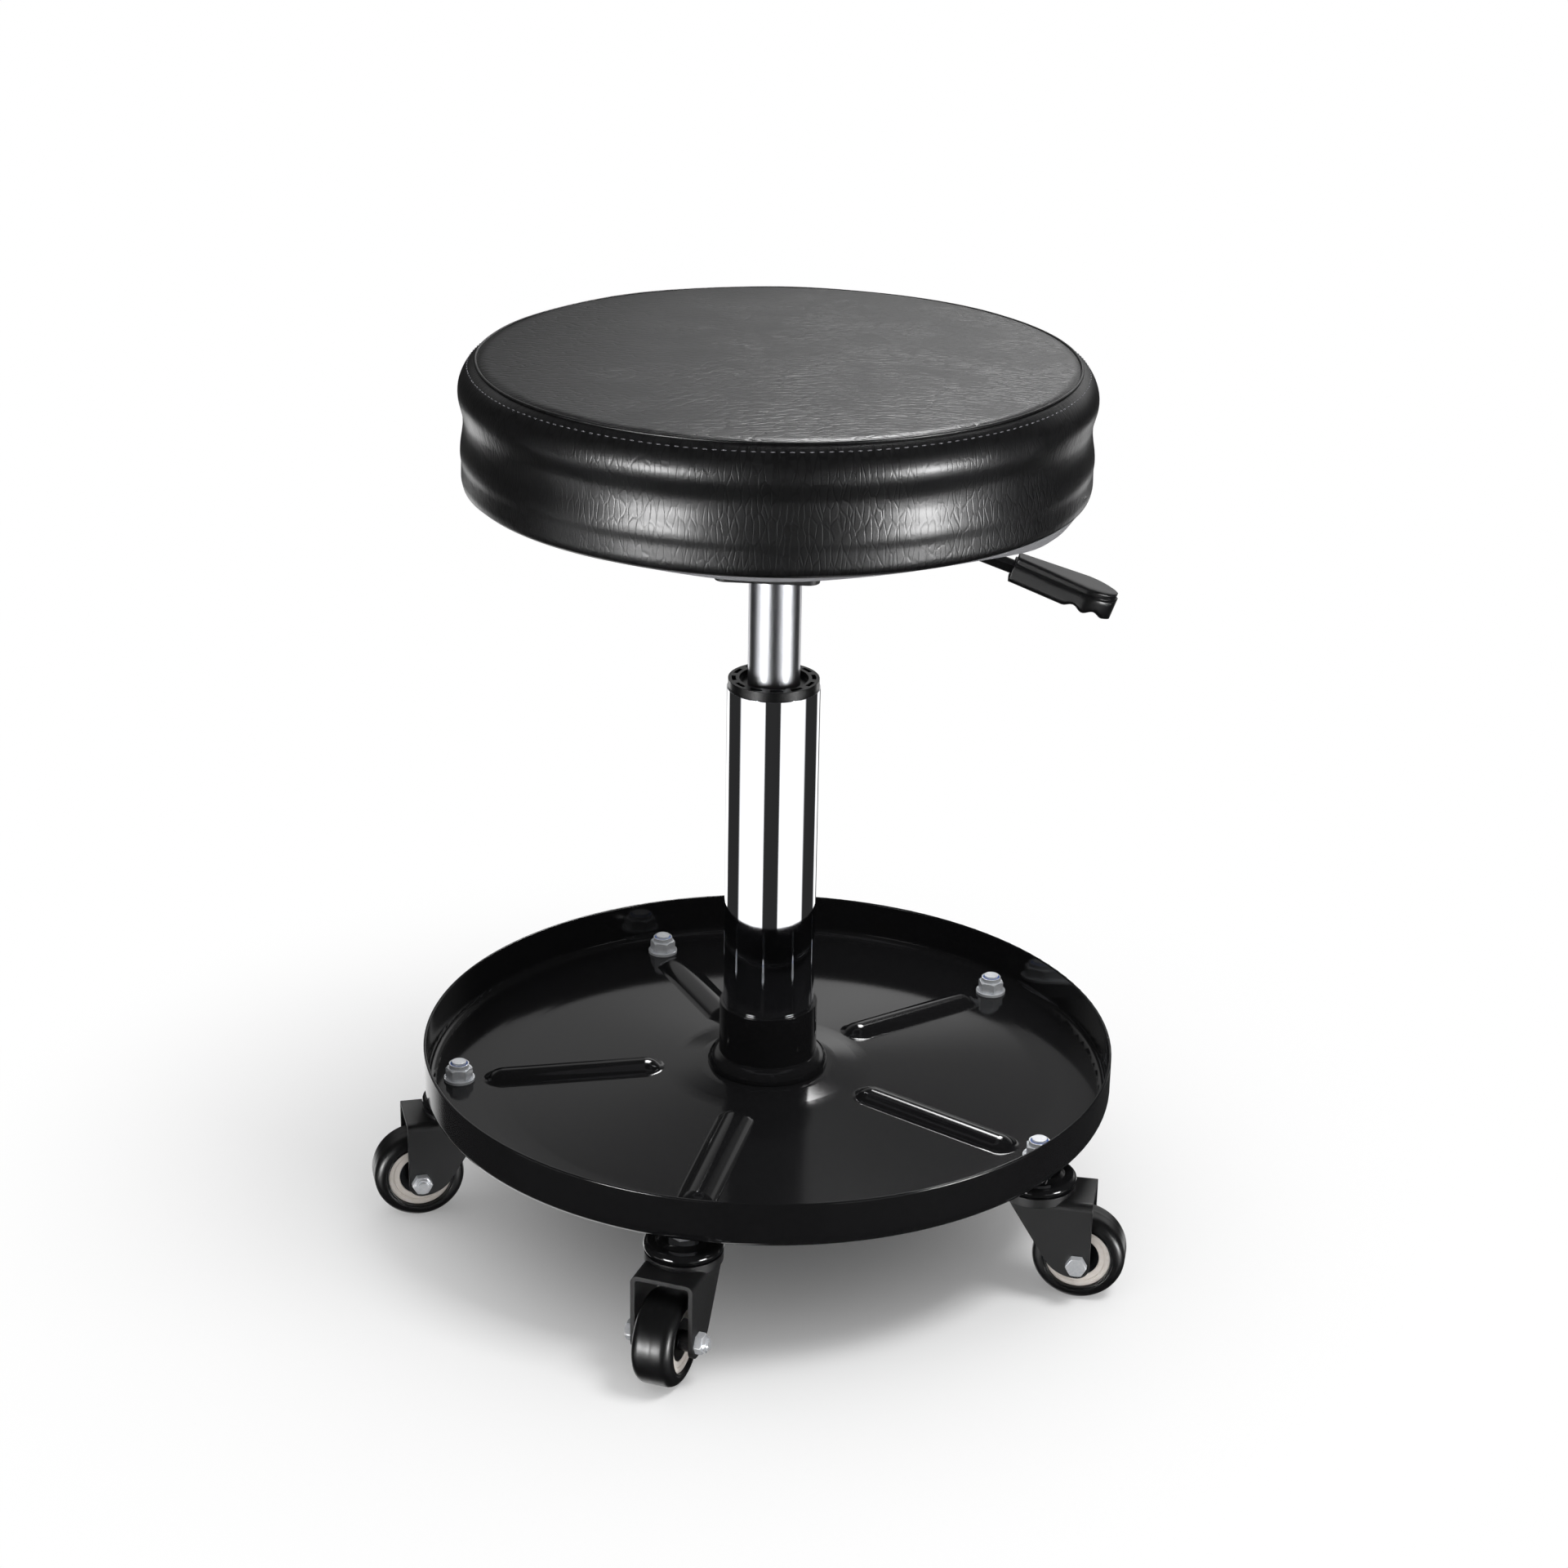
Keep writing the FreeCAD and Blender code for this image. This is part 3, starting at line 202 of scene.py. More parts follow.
# %% Tent directions
world = bpy.data.worlds.new("light tent")
bpy.context.scene.world = world
world.use_nodes = True
tent = world.node_tree
tent.nodes.clear()
ray = add(tent, "TexCoord").outputs["Generated"]
up = add(tent, "SeparateXYZ", {"Vector": ray}).outputs["Z"]
level = add(tent, "VectorMath", {0: ray, 1: (1, 1, 0)}, operation="MULTIPLY")
level = add(tent, "VectorMath", {0: level}, operation="NORMALIZE")
to_right = Vector((-to_camera.y, to_camera.x, 0))
facing, right = [add(tent, "VectorMath", {0: level, 1: axis}, operation="DOT_PRODUCT").outputs["Value"]
                 for axis in (to_camera, to_right)]


def tent_part(glow, *edges):
    """Glow inside soft edges. An edge is a direction and its values where the part is dark and where lit."""
    for direction, dark, lit in edges:
        share = add(tent, "MapRange", {"Value": direction, "From Min": dark, "From Max": lit},
                    interpolation_type="SMOOTHSTEP")
        glow = add(tent, "Math", {0: glow, 1: share}, operation="MULTIPLY")
    return glow


print("the camera's right is", [round(c, 3) for c in to_right])

# %% [markdown]
# A low pale wall stands on either side, with a dark gap behind the camera between them, and a short one
# at the back. The walls are what the chrome shows. A narrow bright panel above each side wall draws the
# two highlights on the cushion's side.

# %% Walls and panels
WALL_GLOW = 1.5
PANEL_GLOW = 44.0
PANEL_SKEW = 0.09        # sets the right panel a little further round than the left one
WALL_FOOT = (up, -0.445, -0.42)
WALL_HEAD = (up, -0.27, -0.31)

side_walls = tent_part(WALL_GLOW, (facing, 0.0, 0.12), (facing, 0.955, 0.935), WALL_FOOT, WALL_HEAD)
rear_wall = tent_part(WALL_GLOW, (facing, -0.95, -0.90), (facing, -0.72, -0.80), WALL_FOOT, WALL_HEAD)
skew = add(tent, "Math", {0: right, 1: PANEL_SKEW}, operation="MULTIPLY")
panel_turn = add(tent, "Math", {0: facing, 1: skew}, operation="ADD")
panels = tent_part(PANEL_GLOW, (panel_turn, 0.48, 0.60), (panel_turn, 0.82, 0.72),
                   (up, -0.22, -0.17), (up, 0.10, -0.08))
print("walls glow", WALL_GLOW, "and panels", PANEL_GLOW)

# %% [markdown]
# Behind the stool hangs a grey backdrop, which the seat's top and the tray's floor mirror. Its lower part
# grows lighter to the right, and its upper part darker. A lamp above it draws the bright line along the
# cushion's front edge. A pale sliver low on the left lights the tubes' left edges, which rays only graze.

# %% Backdrop and lamp
BACKDROP_LEFT = 0.0
BACKDROP_RIGHT = 0.93
UPPER_LEFT = 0.36
UPPER_RIGHT = 0.198
LAMP_GLOW = 22.0
SLIVER_GLOW = 1.0
BEHIND = (facing, -0.5, -0.85)

backdrop_glow = add(tent, "MapRange", {"Value": right, "From Min": -0.12, "From Max": 0.10,
                                       "To Min": BACKDROP_LEFT, "To Max": BACKDROP_RIGHT})
backdrop = tent_part(backdrop_glow, BEHIND, (up, -0.05, 0.25), (up, 0.42, 0.30))
upper_glow = add(tent, "MapRange", {"Value": right, "From Min": -0.05, "From Max": 0.12,
                                    "To Min": UPPER_LEFT, "To Max": UPPER_RIGHT})
upper_backdrop = tent_part(upper_glow, BEHIND, (up, 0.25, 0.36), (up, 0.70, 0.45))
lamp = tent_part(LAMP_GLOW, (facing, -0.75, -0.90), (right, -0.04, 0.08), (right, 0.40, 0.30),
                 (up, 0.62, 0.70), (up, 0.90, 0.82))
sliver = tent_part(SLIVER_GLOW, (facing, -0.7, -0.9), (right, 0.0, -0.2), (up, -0.3, -0.4))
print("lamp glows", LAMP_GLOW)

# %% [markdown]
# The parts are added up over a little darkness. Only mirrored rays see them: rays from the camera see
# plain white, and rays from matt surfaces an even fill.

# %% World
FILL = 0.70
TENT_DARK = 0.03

glow = TENT_DARK
for part in (side_walls, rear_wall, panels, backdrop, upper_backdrop, lamp, sliver):
    glow = add(tent, "Math", {0: part, 1: glow}, operation="ADD")
light_path = add(tent, "LightPath")
plain_white = add(tent, "Background", {"Color": WHITE, "Strength": 1.0})
mirrored_tent = add(tent, "Background", {"Color": WHITE, "Strength": glow})
even_fill = add(tent, "Background", {"Color": WHITE, "Strength": FILL})
by_surface = add(tent, "MixShader", {0: light_path.outputs["Is Glossy Ray"], 1: even_fill, 2: mirrored_tent})
by_ray = add(tent, "MixShader", {0: light_path.outputs["Is Camera Ray"], 1: by_surface, 2: plain_white})
add(tent, "OutputWorld", {"Surface": by_ray})
print("light tent has", len(tent.nodes), "nodes")

# %% [markdown]
# ## Finishes of the hard pieces
#
# No real finish is one flat colour. Each has a fine pattern in millimetres on the piece's own
# coordinates: the orange peel of powder coat, drawing lines along a tube, the grain of a moulding. An
# image could hold it, but a noise needs no unwrapping. It moves the colour a little, the roughness a
# little, and the surface by hundredths of a millimetre. Edges are softened in the shading, as paint and
# plating round them.

# %% Coats
NOISE_LOW, NOISE_HIGH = 0.3, 0.7     # most of a noise's values lie between these
ROUGH_SWING = 0.15                   # share by which the pattern moves the roughness
EDGE_SAMPLES = 6


def finish(name, colour, second, roughness, metallic=0.0,
           grain_mm=1.0, along_z=1.0, bump_mm=0.01, edge_mm=0.4):
    """Finish whose pattern is a noise of one grain size, drawn out along Z by a factor."""
    material = new_material(name)
    tree = material.node_tree
    place = add(tree, "TexCoord").outputs["Object"]
    per_metre = 1 / (grain_mm * MM)
    stretch = (per_metre, per_metre, per_metre / along_z)
    scaled = add(tree, "VectorMath", {0: place, 1: stretch}, operation="MULTIPLY")
    grain = add(tree, "TexNoise", {"Vector": scaled, "Scale": 1.0, "Detail": 3.0})
    spread = add(tree, "MapRange", {"Value": grain, "From Min": NOISE_LOW, "From Max": NOISE_HIGH})
    tone = add(tree, "Mix", {0: spread, MIX_FIRST: linear(colour), MIX_SECOND: linear(second)},
               data_type="RGBA")
    rough = add(tree, "MapRange", {"Value": grain, "To Min": roughness * (1 - ROUGH_SWING),
                                   "To Max": roughness * (1 + ROUGH_SWING)})
    soft_edge = add(tree, "Bevel", {"Radius": edge_mm * MM}, samples=EDGE_SAMPLES)
    bump = add(tree, "Bump", {"Strength": 1.0, "Distance": bump_mm * MM, "Height": grain,
                              "Normal": soft_edge})
    shader = add(tree, "BsdfPrincipled", {"Base Color": tone.outputs[MIX_RESULT], "Roughness": rough,
                                          "Metallic": metallic, "Normal": bump})
    add(tree, "OutputMaterial", {"Surface": shader})
    return material


# Powder coat is sprayed on dry and baked. It melts to a deep gloss with a faint orange peel.
powder_coat = finish("black gloss powder coat", "131314", "171718", 0.10,
                     grain_mm=2.2, bump_mm=0.006, edge_mm=0.7)
# The matt sort stays finely rough, so it shows a grey sheen and no mirror image.
matt_coat = finish("black matt powder coat", "101011", "141415", 0.5,
                   grain_mm=1.2, bump_mm=0.015, edge_mm=0.7)
print("coats:", powder_coat.name, "and", matt_coat.name)

# %% [markdown]
# The metals differ in how they were made smooth. Plating follows the polished tube under it, grinding
# leaves fine lines, and turning and tumbling leave a soft sheen. The lines are drawn coarser than real
# ones, so that they show.

# %% Metals
# Chrome plate on a polished tube is a clear mirror, broken only by long faint streaks.
chrome = finish("polished chrome plate", "e6e7ea", "dcdde1", 0.035, 1.0,
                grain_mm=6, along_z=30, bump_mm=0.0006)
# Ground steel is bright along its lines and blurs what it mirrors across them.
satin_steel = finish("satin ground steel", "d2d3d7", "c2c3c8", 0.30, 1.0,
                     grain_mm=0.35, along_z=40, bump_mm=0.003)
# Bright zinc is milky, half metal and half haze.
zinc = finish("bright zinc plate", "fafbfd", "e4e8ee", 0.25, 0.5,
              grain_mm=1.4, bump_mm=0.004, edge_mm=0.3)
# Turned aluminium is pale and soft.
aluminium = finish("turned aluminium", "c8c9cc", "b5b6ba", 0.3, 1.0,
                   grain_mm=0.8, bump_mm=0.004)
# Bearing steel is dark from its oil.
bearing_steel = finish("dark bearing steel", "3a3b3e", "2c2d30", 0.32, 1.0,
                       grain_mm=0.7, bump_mm=0.005)
print("metals:", ", ".join(metal.name for metal in (chrome, satin_steel, zinc, aluminium, bearing_steel)))

# %% [markdown]
# Mouldings take the grain of their mould: spark-eroded moulds give a fine satin, polished ones a gloss.
# The plywood of the seat's board is hidden under the vinyl, but a part that is taken apart shows it.

# %% Plastics, rubbers and wood
# The nylon ring in a lock nut is a clear blue with a waxy sheen.
blue_nylon = finish("blue nylon", "2f63b4", "274f98", 0.4, grain_mm=0.6)
# Black polypropylene with a fine moulded grain shows broad, quiet highlights.
black_plastic = finish("black moulded plastic", "0d0d0e", "121213", 0.30, grain_mm=0.5, bump_mm=0.02)
# The bump stop is a dull, dusty rubber.
bump_rubber = finish("bump stop rubber", "161616", "1c1c1c", 0.7, grain_mm=0.8, bump_mm=0.03)
# Cast polyurethane is smoother than rubber, with a soft gloss on its shoulders.
tread_rubber = finish("black tread polyurethane", "0c0c0d", "111112", 0.34, grain_mm=3.0, bump_mm=0.01)
# The hubs are a warm cream with a slight gloss.
cream_plastic = finish("cream moulded plastic", "f4ede6", "ebe2d9", 0.35,
                       grain_mm=2.5, bump_mm=0.01, edge_mm=0.3)
# Sanded birch plywood is pale and matt, with level layers.
plywood = finish("sanded plywood", "c8a777", "b08c5c", 0.65, grain_mm=1.5, along_z=0.2, bump_mm=0.05)
print("materials in the scene so far:", len(bpy.data.materials))

# %% [markdown]
# The record says which finish each CAD node has, so the nodes are painted from its list. The plate under
# the seat and the forks have the matt sort of the tray's black coat.

# %% Painting the CAD nodes
FINISHES = {
    "black_enamel": powder_coat, "chrome": chrome, "satin_steel": satin_steel, "zinc_plate": zinc,
    "blue_nylon": blue_nylon, "black_plastic": black_plastic, "aluminium": aluminium,
    "bump_rubber": bump_rubber, "plywood": plywood, "black_tread": tread_rubber,
    "cream_plastic": cream_plastic, "bearing_steel": bearing_steel,
}
MATT_ENDINGS = ("seat_plate", "_fork")

for row in frame["record"]["subparts"]:
    if row["material_slot"] in FINISHES:
        node = frame["nodes"][row["node"]]
        is_matt = row["node"].endswith(MATT_ENDINGS)
        node.data.materials.clear()
        node.data.materials.append(matt_coat if is_matt else FINISHES[row["material_slot"]])
print("painted CAD nodes with", len(FINISHES), "finishes")

# %% [markdown]
# ## Vinyl of the seat
#
# The cover is black vinyl, rolled with a leather grain. Its creases are cells with sunk borders, which a
# Voronoi texture draws and paints a little darker, as painted shade. A noise bends them, because no crease
# in leather is straight.

# %% Creases
BEND_SCALE = 0.35        # cells of the bending noise for each crease cell
BEND_REACH = 0.9         # how far the noise bends, in crease cells
CREASE_BORDER = 0.14     # how wide the sunk border is, in crease cells


def creases(tree, vector, width_mm):
    """Height of a crease pattern whose cells have the given width: 0 in a crease and 1 between them."""
    scale = 1 / (width_mm * MM)
    bend = add(tree, "TexNoise", {"Vector": vector, "Scale": scale * BEND_SCALE, "Detail": 2.0})
    shift = add(tree, "VectorMath", {0: bend.outputs["Color"], 1: (BEND_REACH / scale,) * 3},
                operation="MULTIPLY")
    bent = add(tree, "VectorMath", {0: vector, 1: shift}, operation="ADD")
    cells = add(tree, "TexVoronoi", {"Vector": bent, "Scale": scale}, feature="DISTANCE_TO_EDGE")
    return add(tree, "MapRange", {"Value": cells.outputs["Distance"], "From Max": CREASE_BORDER},
               interpolation_type="SMOOTHSTEP")


print("crease borders take", CREASE_BORDER, "of a cell")

# %% [markdown]
# On the top the creases lie level. On the side band, where the sheet is pulled down over the edge, they
# run upright, so the band's pattern is laid out round the seat as on a flat strip. A crease comes every
# three millimetres or so, with a finer pebble between, and a slow noise makes the grain deeper in some
# patches. The depth on the top is doubled, because the flat view across it would hide it.

# %% Vinyl
BAND_RADIUS = 163.0
BAND_GRAIN_ENDS = 157.5  # from this radius inwards the band's grain gives way to the top's
TOP_GRAIN_FULL = 153.5   # from this radius inwards there is only the top's grain
SIDE_CREASE = 3.2
TOP_CREASE = 3.0
SIDE_DRAWN = 0.33        # squeezes the pattern along its creases, so that they come out longer
TOP_DRAWN = 0.3
PEBBLE = 0.9
PEBBLE_SHARE = 0.6
PATCH = 35.0
LEAST_DEPTH = 0.02
MOST_DEPTH = 0.06


def grained_vinyl():
    """Soft vinyl: black with a satin gloss that breaks up on the grain."""
    material = new_material("black grained vinyl")
    tree = material.node_tree
    place = add(tree, "TexCoord").outputs["Object"]
    x, y, z = add(tree, "SeparateXYZ", {"Vector": place}).outputs
    angle = add(tree, "Math", {0: y, 1: x}, operation="ARCTAN2")
    around = add(tree, "Math", {0: angle, 1: BAND_RADIUS * MM}, operation="MULTIPLY")
    up_band = add(tree, "Math", {0: z, 1: SIDE_DRAWN}, operation="MULTIPLY")
    side_place = add(tree, "CombineXYZ", {"X": around, "Y": up_band})
    across_top = add(tree, "Math", {0: x, 1: TOP_DRAWN}, operation="MULTIPLY")
    top_place = add(tree, "CombineXYZ", {"X": across_top, "Y": y})
    from_axis = add(tree, "CombineXYZ", {"X": x, "Y": y})
    radius = add(tree, "VectorMath", {0: from_axis}, operation="LENGTH").outputs["Value"]
    on_top = add(tree, "MapRange", {"Value": radius, "From Min": BAND_GRAIN_ENDS * MM,
                                    "From Max": TOP_GRAIN_FULL * MM})
    crease = add(tree, "Mix", {"Factor": on_top, "A": creases(tree, side_place, SIDE_CREASE),
                               "B": creases(tree, top_place, TOP_CREASE)})
    pebble = add(tree, "TexNoise", {"Vector": place, "Scale": 1 / (PEBBLE * MM), "Detail": 2.0})
    pebble = add(tree, "Math", {0: pebble, 1: PEBBLE_SHARE}, operation="MULTIPLY")
    height = add(tree, "Math", {0: crease, 1: pebble}, operation="ADD")
    patch = add(tree, "TexNoise", {"Vector": place, "Scale": 1 / (PATCH * MM), "Detail": 2.0})
    depth = add(tree, "MapRange", {"Value": patch, "From Min": NOISE_LOW, "From Max": NOISE_HIGH,
                                   "To Min": LEAST_DEPTH * MM, "To Max": MOST_DEPTH * MM})
    top_factor = add(tree, "Math", {0: on_top, 1: 1.0}, operation="ADD")
    depth = add(tree, "Math", {0: depth, 1: top_factor}, operation="MULTIPLY")
    bump = add(tree, "Bump", {"Strength": 1.0, "Distance": depth, "Height": height})
    # Painted shade: the colour is darker in the creases than on the cells between them.
    colour = add(tree, "Mix", {0: crease, MIX_FIRST: linear("0a0a0b"), MIX_SECOND: linear("141415")},
                 data_type="RGBA")
    rough = add(tree, "MapRange", {"Value": patch, "To Min": 0.28, "To Max": 0.38})
    shader = add(tree, "BsdfPrincipled", {"Base Color": colour.outputs[MIX_RESULT], "Roughness": rough,
                                          "Specular IOR Level": 0.6, "Normal": bump})
    add(tree, "OutputMaterial", {"Surface": shader})
    return material


vinyl = grained_vinyl()
print("vinyl has", len(vinyl.node_tree.nodes), "nodes")

# %% [markdown]
# ## Lines of a section
#
# Most new pieces are turned: a half section is spun about an axis. A section is a list of points, each a
# radius and a height in millimetres. Three functions make its curved stretches, so that only the points
# where the shape changes are written down.

# %% Section lines
def arc_points(start, via, end, count):
    """count points after start along the circle through three points."""
    (ax, ay), (bx, by), (cx, cy) = start, via, end
    # Four times the area of the three points' triangle, by which the circle's middle is worked out.
    four_areas = 2 * (ax * (by - cy) + bx * (cy - ay) + cx * (ay - by))
    a2, b2, c2 = ax * ax + ay * ay, bx * bx + by * by, cx * cx + cy * cy
    ox = (a2 * (by - cy) + b2 * (cy - ay) + c2 * (ay - by)) / four_areas
    oy = (a2 * (cx - bx) + b2 * (ax - cx) + c2 * (bx - ax)) / four_areas
    radius = math.hypot(ax - ox, ay - oy)
    first = math.atan2(ay - oy, ax - ox)
    turn = (math.atan2(cy - oy, cx - ox) - first + math.pi) % (2 * math.pi) - math.pi
    angles = [first + turn * k / count for k in range(1, count + 1)]
    return [(ox + radius * math.cos(angle), oy + radius * math.sin(angle)) for angle in angles]


def ease_points(start, end, count):
    """count points after start along an S-shaped line, which leaves start and reaches end upright."""
    (r0, z0), (r1, z1) = start, end
    return [(r0 + (r1 - r0) * (1 - math.cos(math.pi * k / count)) / 2, z0 + (z1 - z0) * k / count)
            for k in range(1, count + 1)]


def round_points(start, widest, count):
    """count points after start along the circle that passes widest upright, ending there."""
    across, rise = widest[0] - start[0], start[1] - widest[1]
    radius = (across ** 2 + rise ** 2) / (2 * across)
    half = math.asin(rise / radius) / 2
    via = (widest[0] - radius + radius * math.cos(half), widest[1] + radius * math.sin(half))
    return arc_points(start, via, widest, count)


print("an S-shaped line:", [round(r, 2) for r, z in ease_points((0.0, 0.0), (1.0, 1.0), 4)])

# %% [markdown]
# ## Cushion
#
# A real cushion like this is a foam block on a plywood board. A round top panel is sewn to a side band,
# and the band is pulled down and stapled under the board. The band bulges over the foam, is drawn in
# where foam meets board, and bulges again over the board's edge, with a fine groove above the hem. It
# could be sculpted. Spinning a section is chosen, because every bulge then has a written place.

# %% Cushion section
FOOT = (162.5, 426.0)
FOOT_BULGE = (163.6, 431.0)
HEM_GROOVE = (163.55, 437.0)
LOWER_BULGE = (164.0, 442.0)
WAIST = (161.9, 459.0)
UPPER_BULGE = (164.8, 473.0)
SEAM = (155.5, 488.5)
TOP_EDGE = (147.5, 490.6)
CROWN = (0.0, 494.5)
BOARD_EDGE = 158.3
BOARD_TOP = 438.3
HEM_EDGE = 136.5
HEM_THICKNESS = 1.2
ROLL = 0.4               # how far the top panel stands out where it rolls down to the seam

crown_half = (TOP_EDGE[0] / 2, CROWN[1] - (CROWN[1] - TOP_EDGE[1]) / 4)
roll_half = ((TOP_EDGE[0] + SEAM[0]) / 2, (TOP_EDGE[1] + SEAM[1]) / 2 + ROLL)
top_line = [CROWN] + arc_points(CROWN, crown_half, TOP_EDGE, 24) + arc_points(TOP_EDGE, roll_half, SEAM, 8)
band_line = round_points(SEAM, UPPER_BULGE, 12) + ease_points(UPPER_BULGE, WAIST, 8)
band_line += ease_points(WAIST, LOWER_BULGE, 8) + ease_points(LOWER_BULGE, HEM_GROOVE, 4)
band_line += ease_points(HEM_GROOVE, FOOT_BULGE, 5)
foot_line = [FOOT] + round_points(FOOT, FOOT_BULGE, 5)
foot_line.reverse()
inside_line = [(FOOT[0] - HEM_THICKNESS, FOOT[1] - HEM_THICKNESS), (HEM_EDGE, FOOT[1] - HEM_THICKNESS),
               (HEM_EDGE, FOOT[1]), (BOARD_EDGE, FOOT[1]), (BOARD_EDGE, BOARD_TOP), (0.0, BOARD_TOP)]
cushion_section = top_line + band_line + foot_line[1:] + inside_line
print("cushion section has", len(cushion_section), "points")

# %% [markdown]
# ## Making a piece
#
# Two helpers serve most new pieces. One spins a section into a bmesh and closes its seam and poles. The
# other turns a bmesh into an object that rides on one CAD body, so that it moves with the joints.

# %% Spinning and placing
MERGE = 0.001            # points closer than this are made one


def spin(bm, section, steps, closed=False):
    """Spins a section of (radius, height) points in millimetres a full turn about Z."""
    verts = [bm.verts.new((r * MM, 0, z * MM)) for r, z in section]
    pairs = list(zip(verts, verts[1:])) + ([(verts[-1], verts[0])] if closed else [])
    edges = [bm.edges.new(pair) for pair in pairs]
    bmesh.ops.spin(bm, geom=verts + edges, cent=(0, 0, 0), axis=(0, 0, 1), angle=2 * math.pi, steps=steps,
                   use_merge=True)
    bmesh.ops.remove_doubles(bm, verts=bm.verts, dist=MERGE * MM)


def piece(name, bm, material, body, stands_for=(), sharp_deg=35):
    """Object from a bmesh, which rides on a body and may stand for CAD nodes."""
    bmesh.ops.recalc_face_normals(bm, faces=bm.faces)
    mesh = bpy.data.meshes.new(name)
    bm.to_mesh(mesh)
    bm.free()
    mesh.polygons.foreach_set("use_smooth", [True] * len(mesh.polygons))
    mesh.set_sharp_from_angle(angle=math.radians(sharp_deg))
    mesh.materials.append(material)
    made = bpy.data.objects.new(name, mesh)
    bpy.context.scene.collection.objects.link(made)
    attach(made, body)
    if stands_for:
        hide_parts(*stands_for)
    return made


print("points closer than", MERGE, "mm are made one")

# %% [markdown]
# The section is spun, and Blender's cloth will then fill it, so between the held lines it starts a little
# smaller than the finished seat. Hand work is never even: a slow noise round the seat lets the band stand
# out more in one place than in another, and the held lines rise and fall by about half a millimetre.

# %% Cushion mesh
SEAT_STEPS = 240
SLACK = 0.4
HELD_LINES = ((SEAM, 12.0), (WAIST, 9.0), (FOOT, 5.0))     # each with the reach of its hold
WANDER = 0.5             # how far the band stands in or out
WANDER_SIZE = 70
DIMPLE = 0.1             # the same in small
DIMPLE_SIZE = 18
LINE_WAVE = 0.7          # how far the held lines rise and fall
LINE_WAVE_SIZE = 60
TOP_SHARE = 0.5          # share of the wandering that the top panel has
NEAR = 0.01              # millimetres that rounding may take a point off its place


def section_place(vert):
    """Radius and height of a point in millimetres."""
    return vert.co.to_2d().length / MM, vert.co.z / MM


def is_inside(r, z):
    """True for the points of the inside line, which lie against the board and under the hem."""
    return z < FOOT[1] - NEAR or (z < BOARD_TOP + NEAR and r < BOARD_EDGE + NEAR)


def freedom(r, z):
    """How freely the vinyl moves: 0 where it is held at seam, waist and hem, 1 between them."""
    return min(1.0, *(math.hypot(r - held_r, z - held_z) / reach for (held_r, held_z), reach in HELD_LINES))


def uneven(place, size_mm, seed):
    """Smooth noise from about -1 to 1 with features of the given size."""
    return noise.noise(place / (size_mm * MM) + Vector((seed, 2 * seed, 3 * seed)))


cushion_bm = bmesh.new()
spin(cushion_bm, cushion_section, SEAT_STEPS)
for vert in cushion_bm.verts:
    r, z = section_place(vert)
    if is_inside(r, z):
        continue
    outwards = Vector((vert.co.x, vert.co.y, 0)).normalized()
    share = freedom(r, z)
    wander = WANDER * uneven(vert.co, WANDER_SIZE, 1.0) + DIMPLE * uneven(vert.co, DIMPLE_SIZE, 4.0)
    if z < SEAM[1] + NEAR:
        vert.co += outwards * (wander - SLACK * share) * MM
        vert.co.z += LINE_WAVE * uneven(vert.co, LINE_WAVE_SIZE, 7.0) * MM * (1 - share)
    else:
        vert.co.z += (TOP_SHARE * wander - SLACK * share) * MM
cushion = piece("seat_cushion", cushion_bm, vinyl, "seat", ("seat_cover", "seat_foam"),
                sharp_deg=60)
print("cushion starts with", len(cushion.data.vertices), "points")

# %% [markdown]
# The cloth run is short: twenty frames with no gravity and a light pressure, which fills the vinyl
# between the held lines. A vertex group says how firmly each point is held. No point may move further
# than a few millimetres, so that the cushion keeps to the CAD part's room.

# %% Swelling the cushion
FRAMES = 20
MOST_MOVE = 3.5 * MM
HEM_HOLD = 1.5           # height over the foot up to which the hem is held fast
HOLD_FALL = 1.6          # how fast the hold lets go with the vinyl's freedom
CLOTH_SETTINGS = {
    "quality": 6, "mass": 0.3, "tension_stiffness": 20, "compression_stiffness": 20, "shear_stiffness": 8,
    "bending_stiffness": 2.0, "air_damping": 3.0, "vertex_group_mass": "held", "pin_stiffness": 4.0,
    "use_pressure": True, "uniform_pressure_force": 1.0,
}


def swell(made):
    """Runs cloth on a piece, keeps the result as its mesh, and caps how far a point moves."""
    start = [vert.co.copy() for vert in made.data.vertices]
    cloth = made.modifiers.new("cloth", "CLOTH")
    for name, value in CLOTH_SETTINGS.items():
        setattr(cloth.settings, name, value)
    cloth.settings.effector_weights.gravity = 0
    cloth.collision_settings.use_collision = False
    for number in range(1, FRAMES + 1):
        bpy.context.scene.frame_set(number)
    graph = bpy.context.evaluated_depsgraph_get()
    swollen = bpy.data.meshes.new_from_object(made.evaluated_get(graph))
    made.modifiers.clear()
    made.data = swollen
    longest = 0.0
    for vert, was in zip(swollen.vertices, start):
        step = vert.co - was
        longest = max(longest, step.length)
        if step.length > MOST_MOVE:
            vert.co = was + step.normalized() * MOST_MOVE
    bpy.context.scene.frame_set(1)
    print("cloth moved the vinyl by up to", round(longest / MM, 2), "mm")


held = cushion.vertex_groups.new(name="held")
for vert in cushion.data.vertices:
    r, z = section_place(vert)
    held_fast = is_inside(r, z) or z < FOOT[1] + HEM_HOLD
    weight = 1.0 if held_fast else max(0.0, 1 - HOLD_FALL * freedom(r, z))
    if weight > 0:
        held.add([vert.index], weight, "REPLACE")
swell(cushion)

# %% [markdown]
# Then the seam is drawn in: a shallow groove where the two panels meet. Each point near the seam moves
# towards the inside of the cushion, by less the further from the seam it is.

# %% Seam groove
SEAM_GROOVE = 0.7
SEAM_WIDTH = 2.2
GROOVE_AIM = 30.0        # the groove is drawn towards a point on the axis, this far below the seam

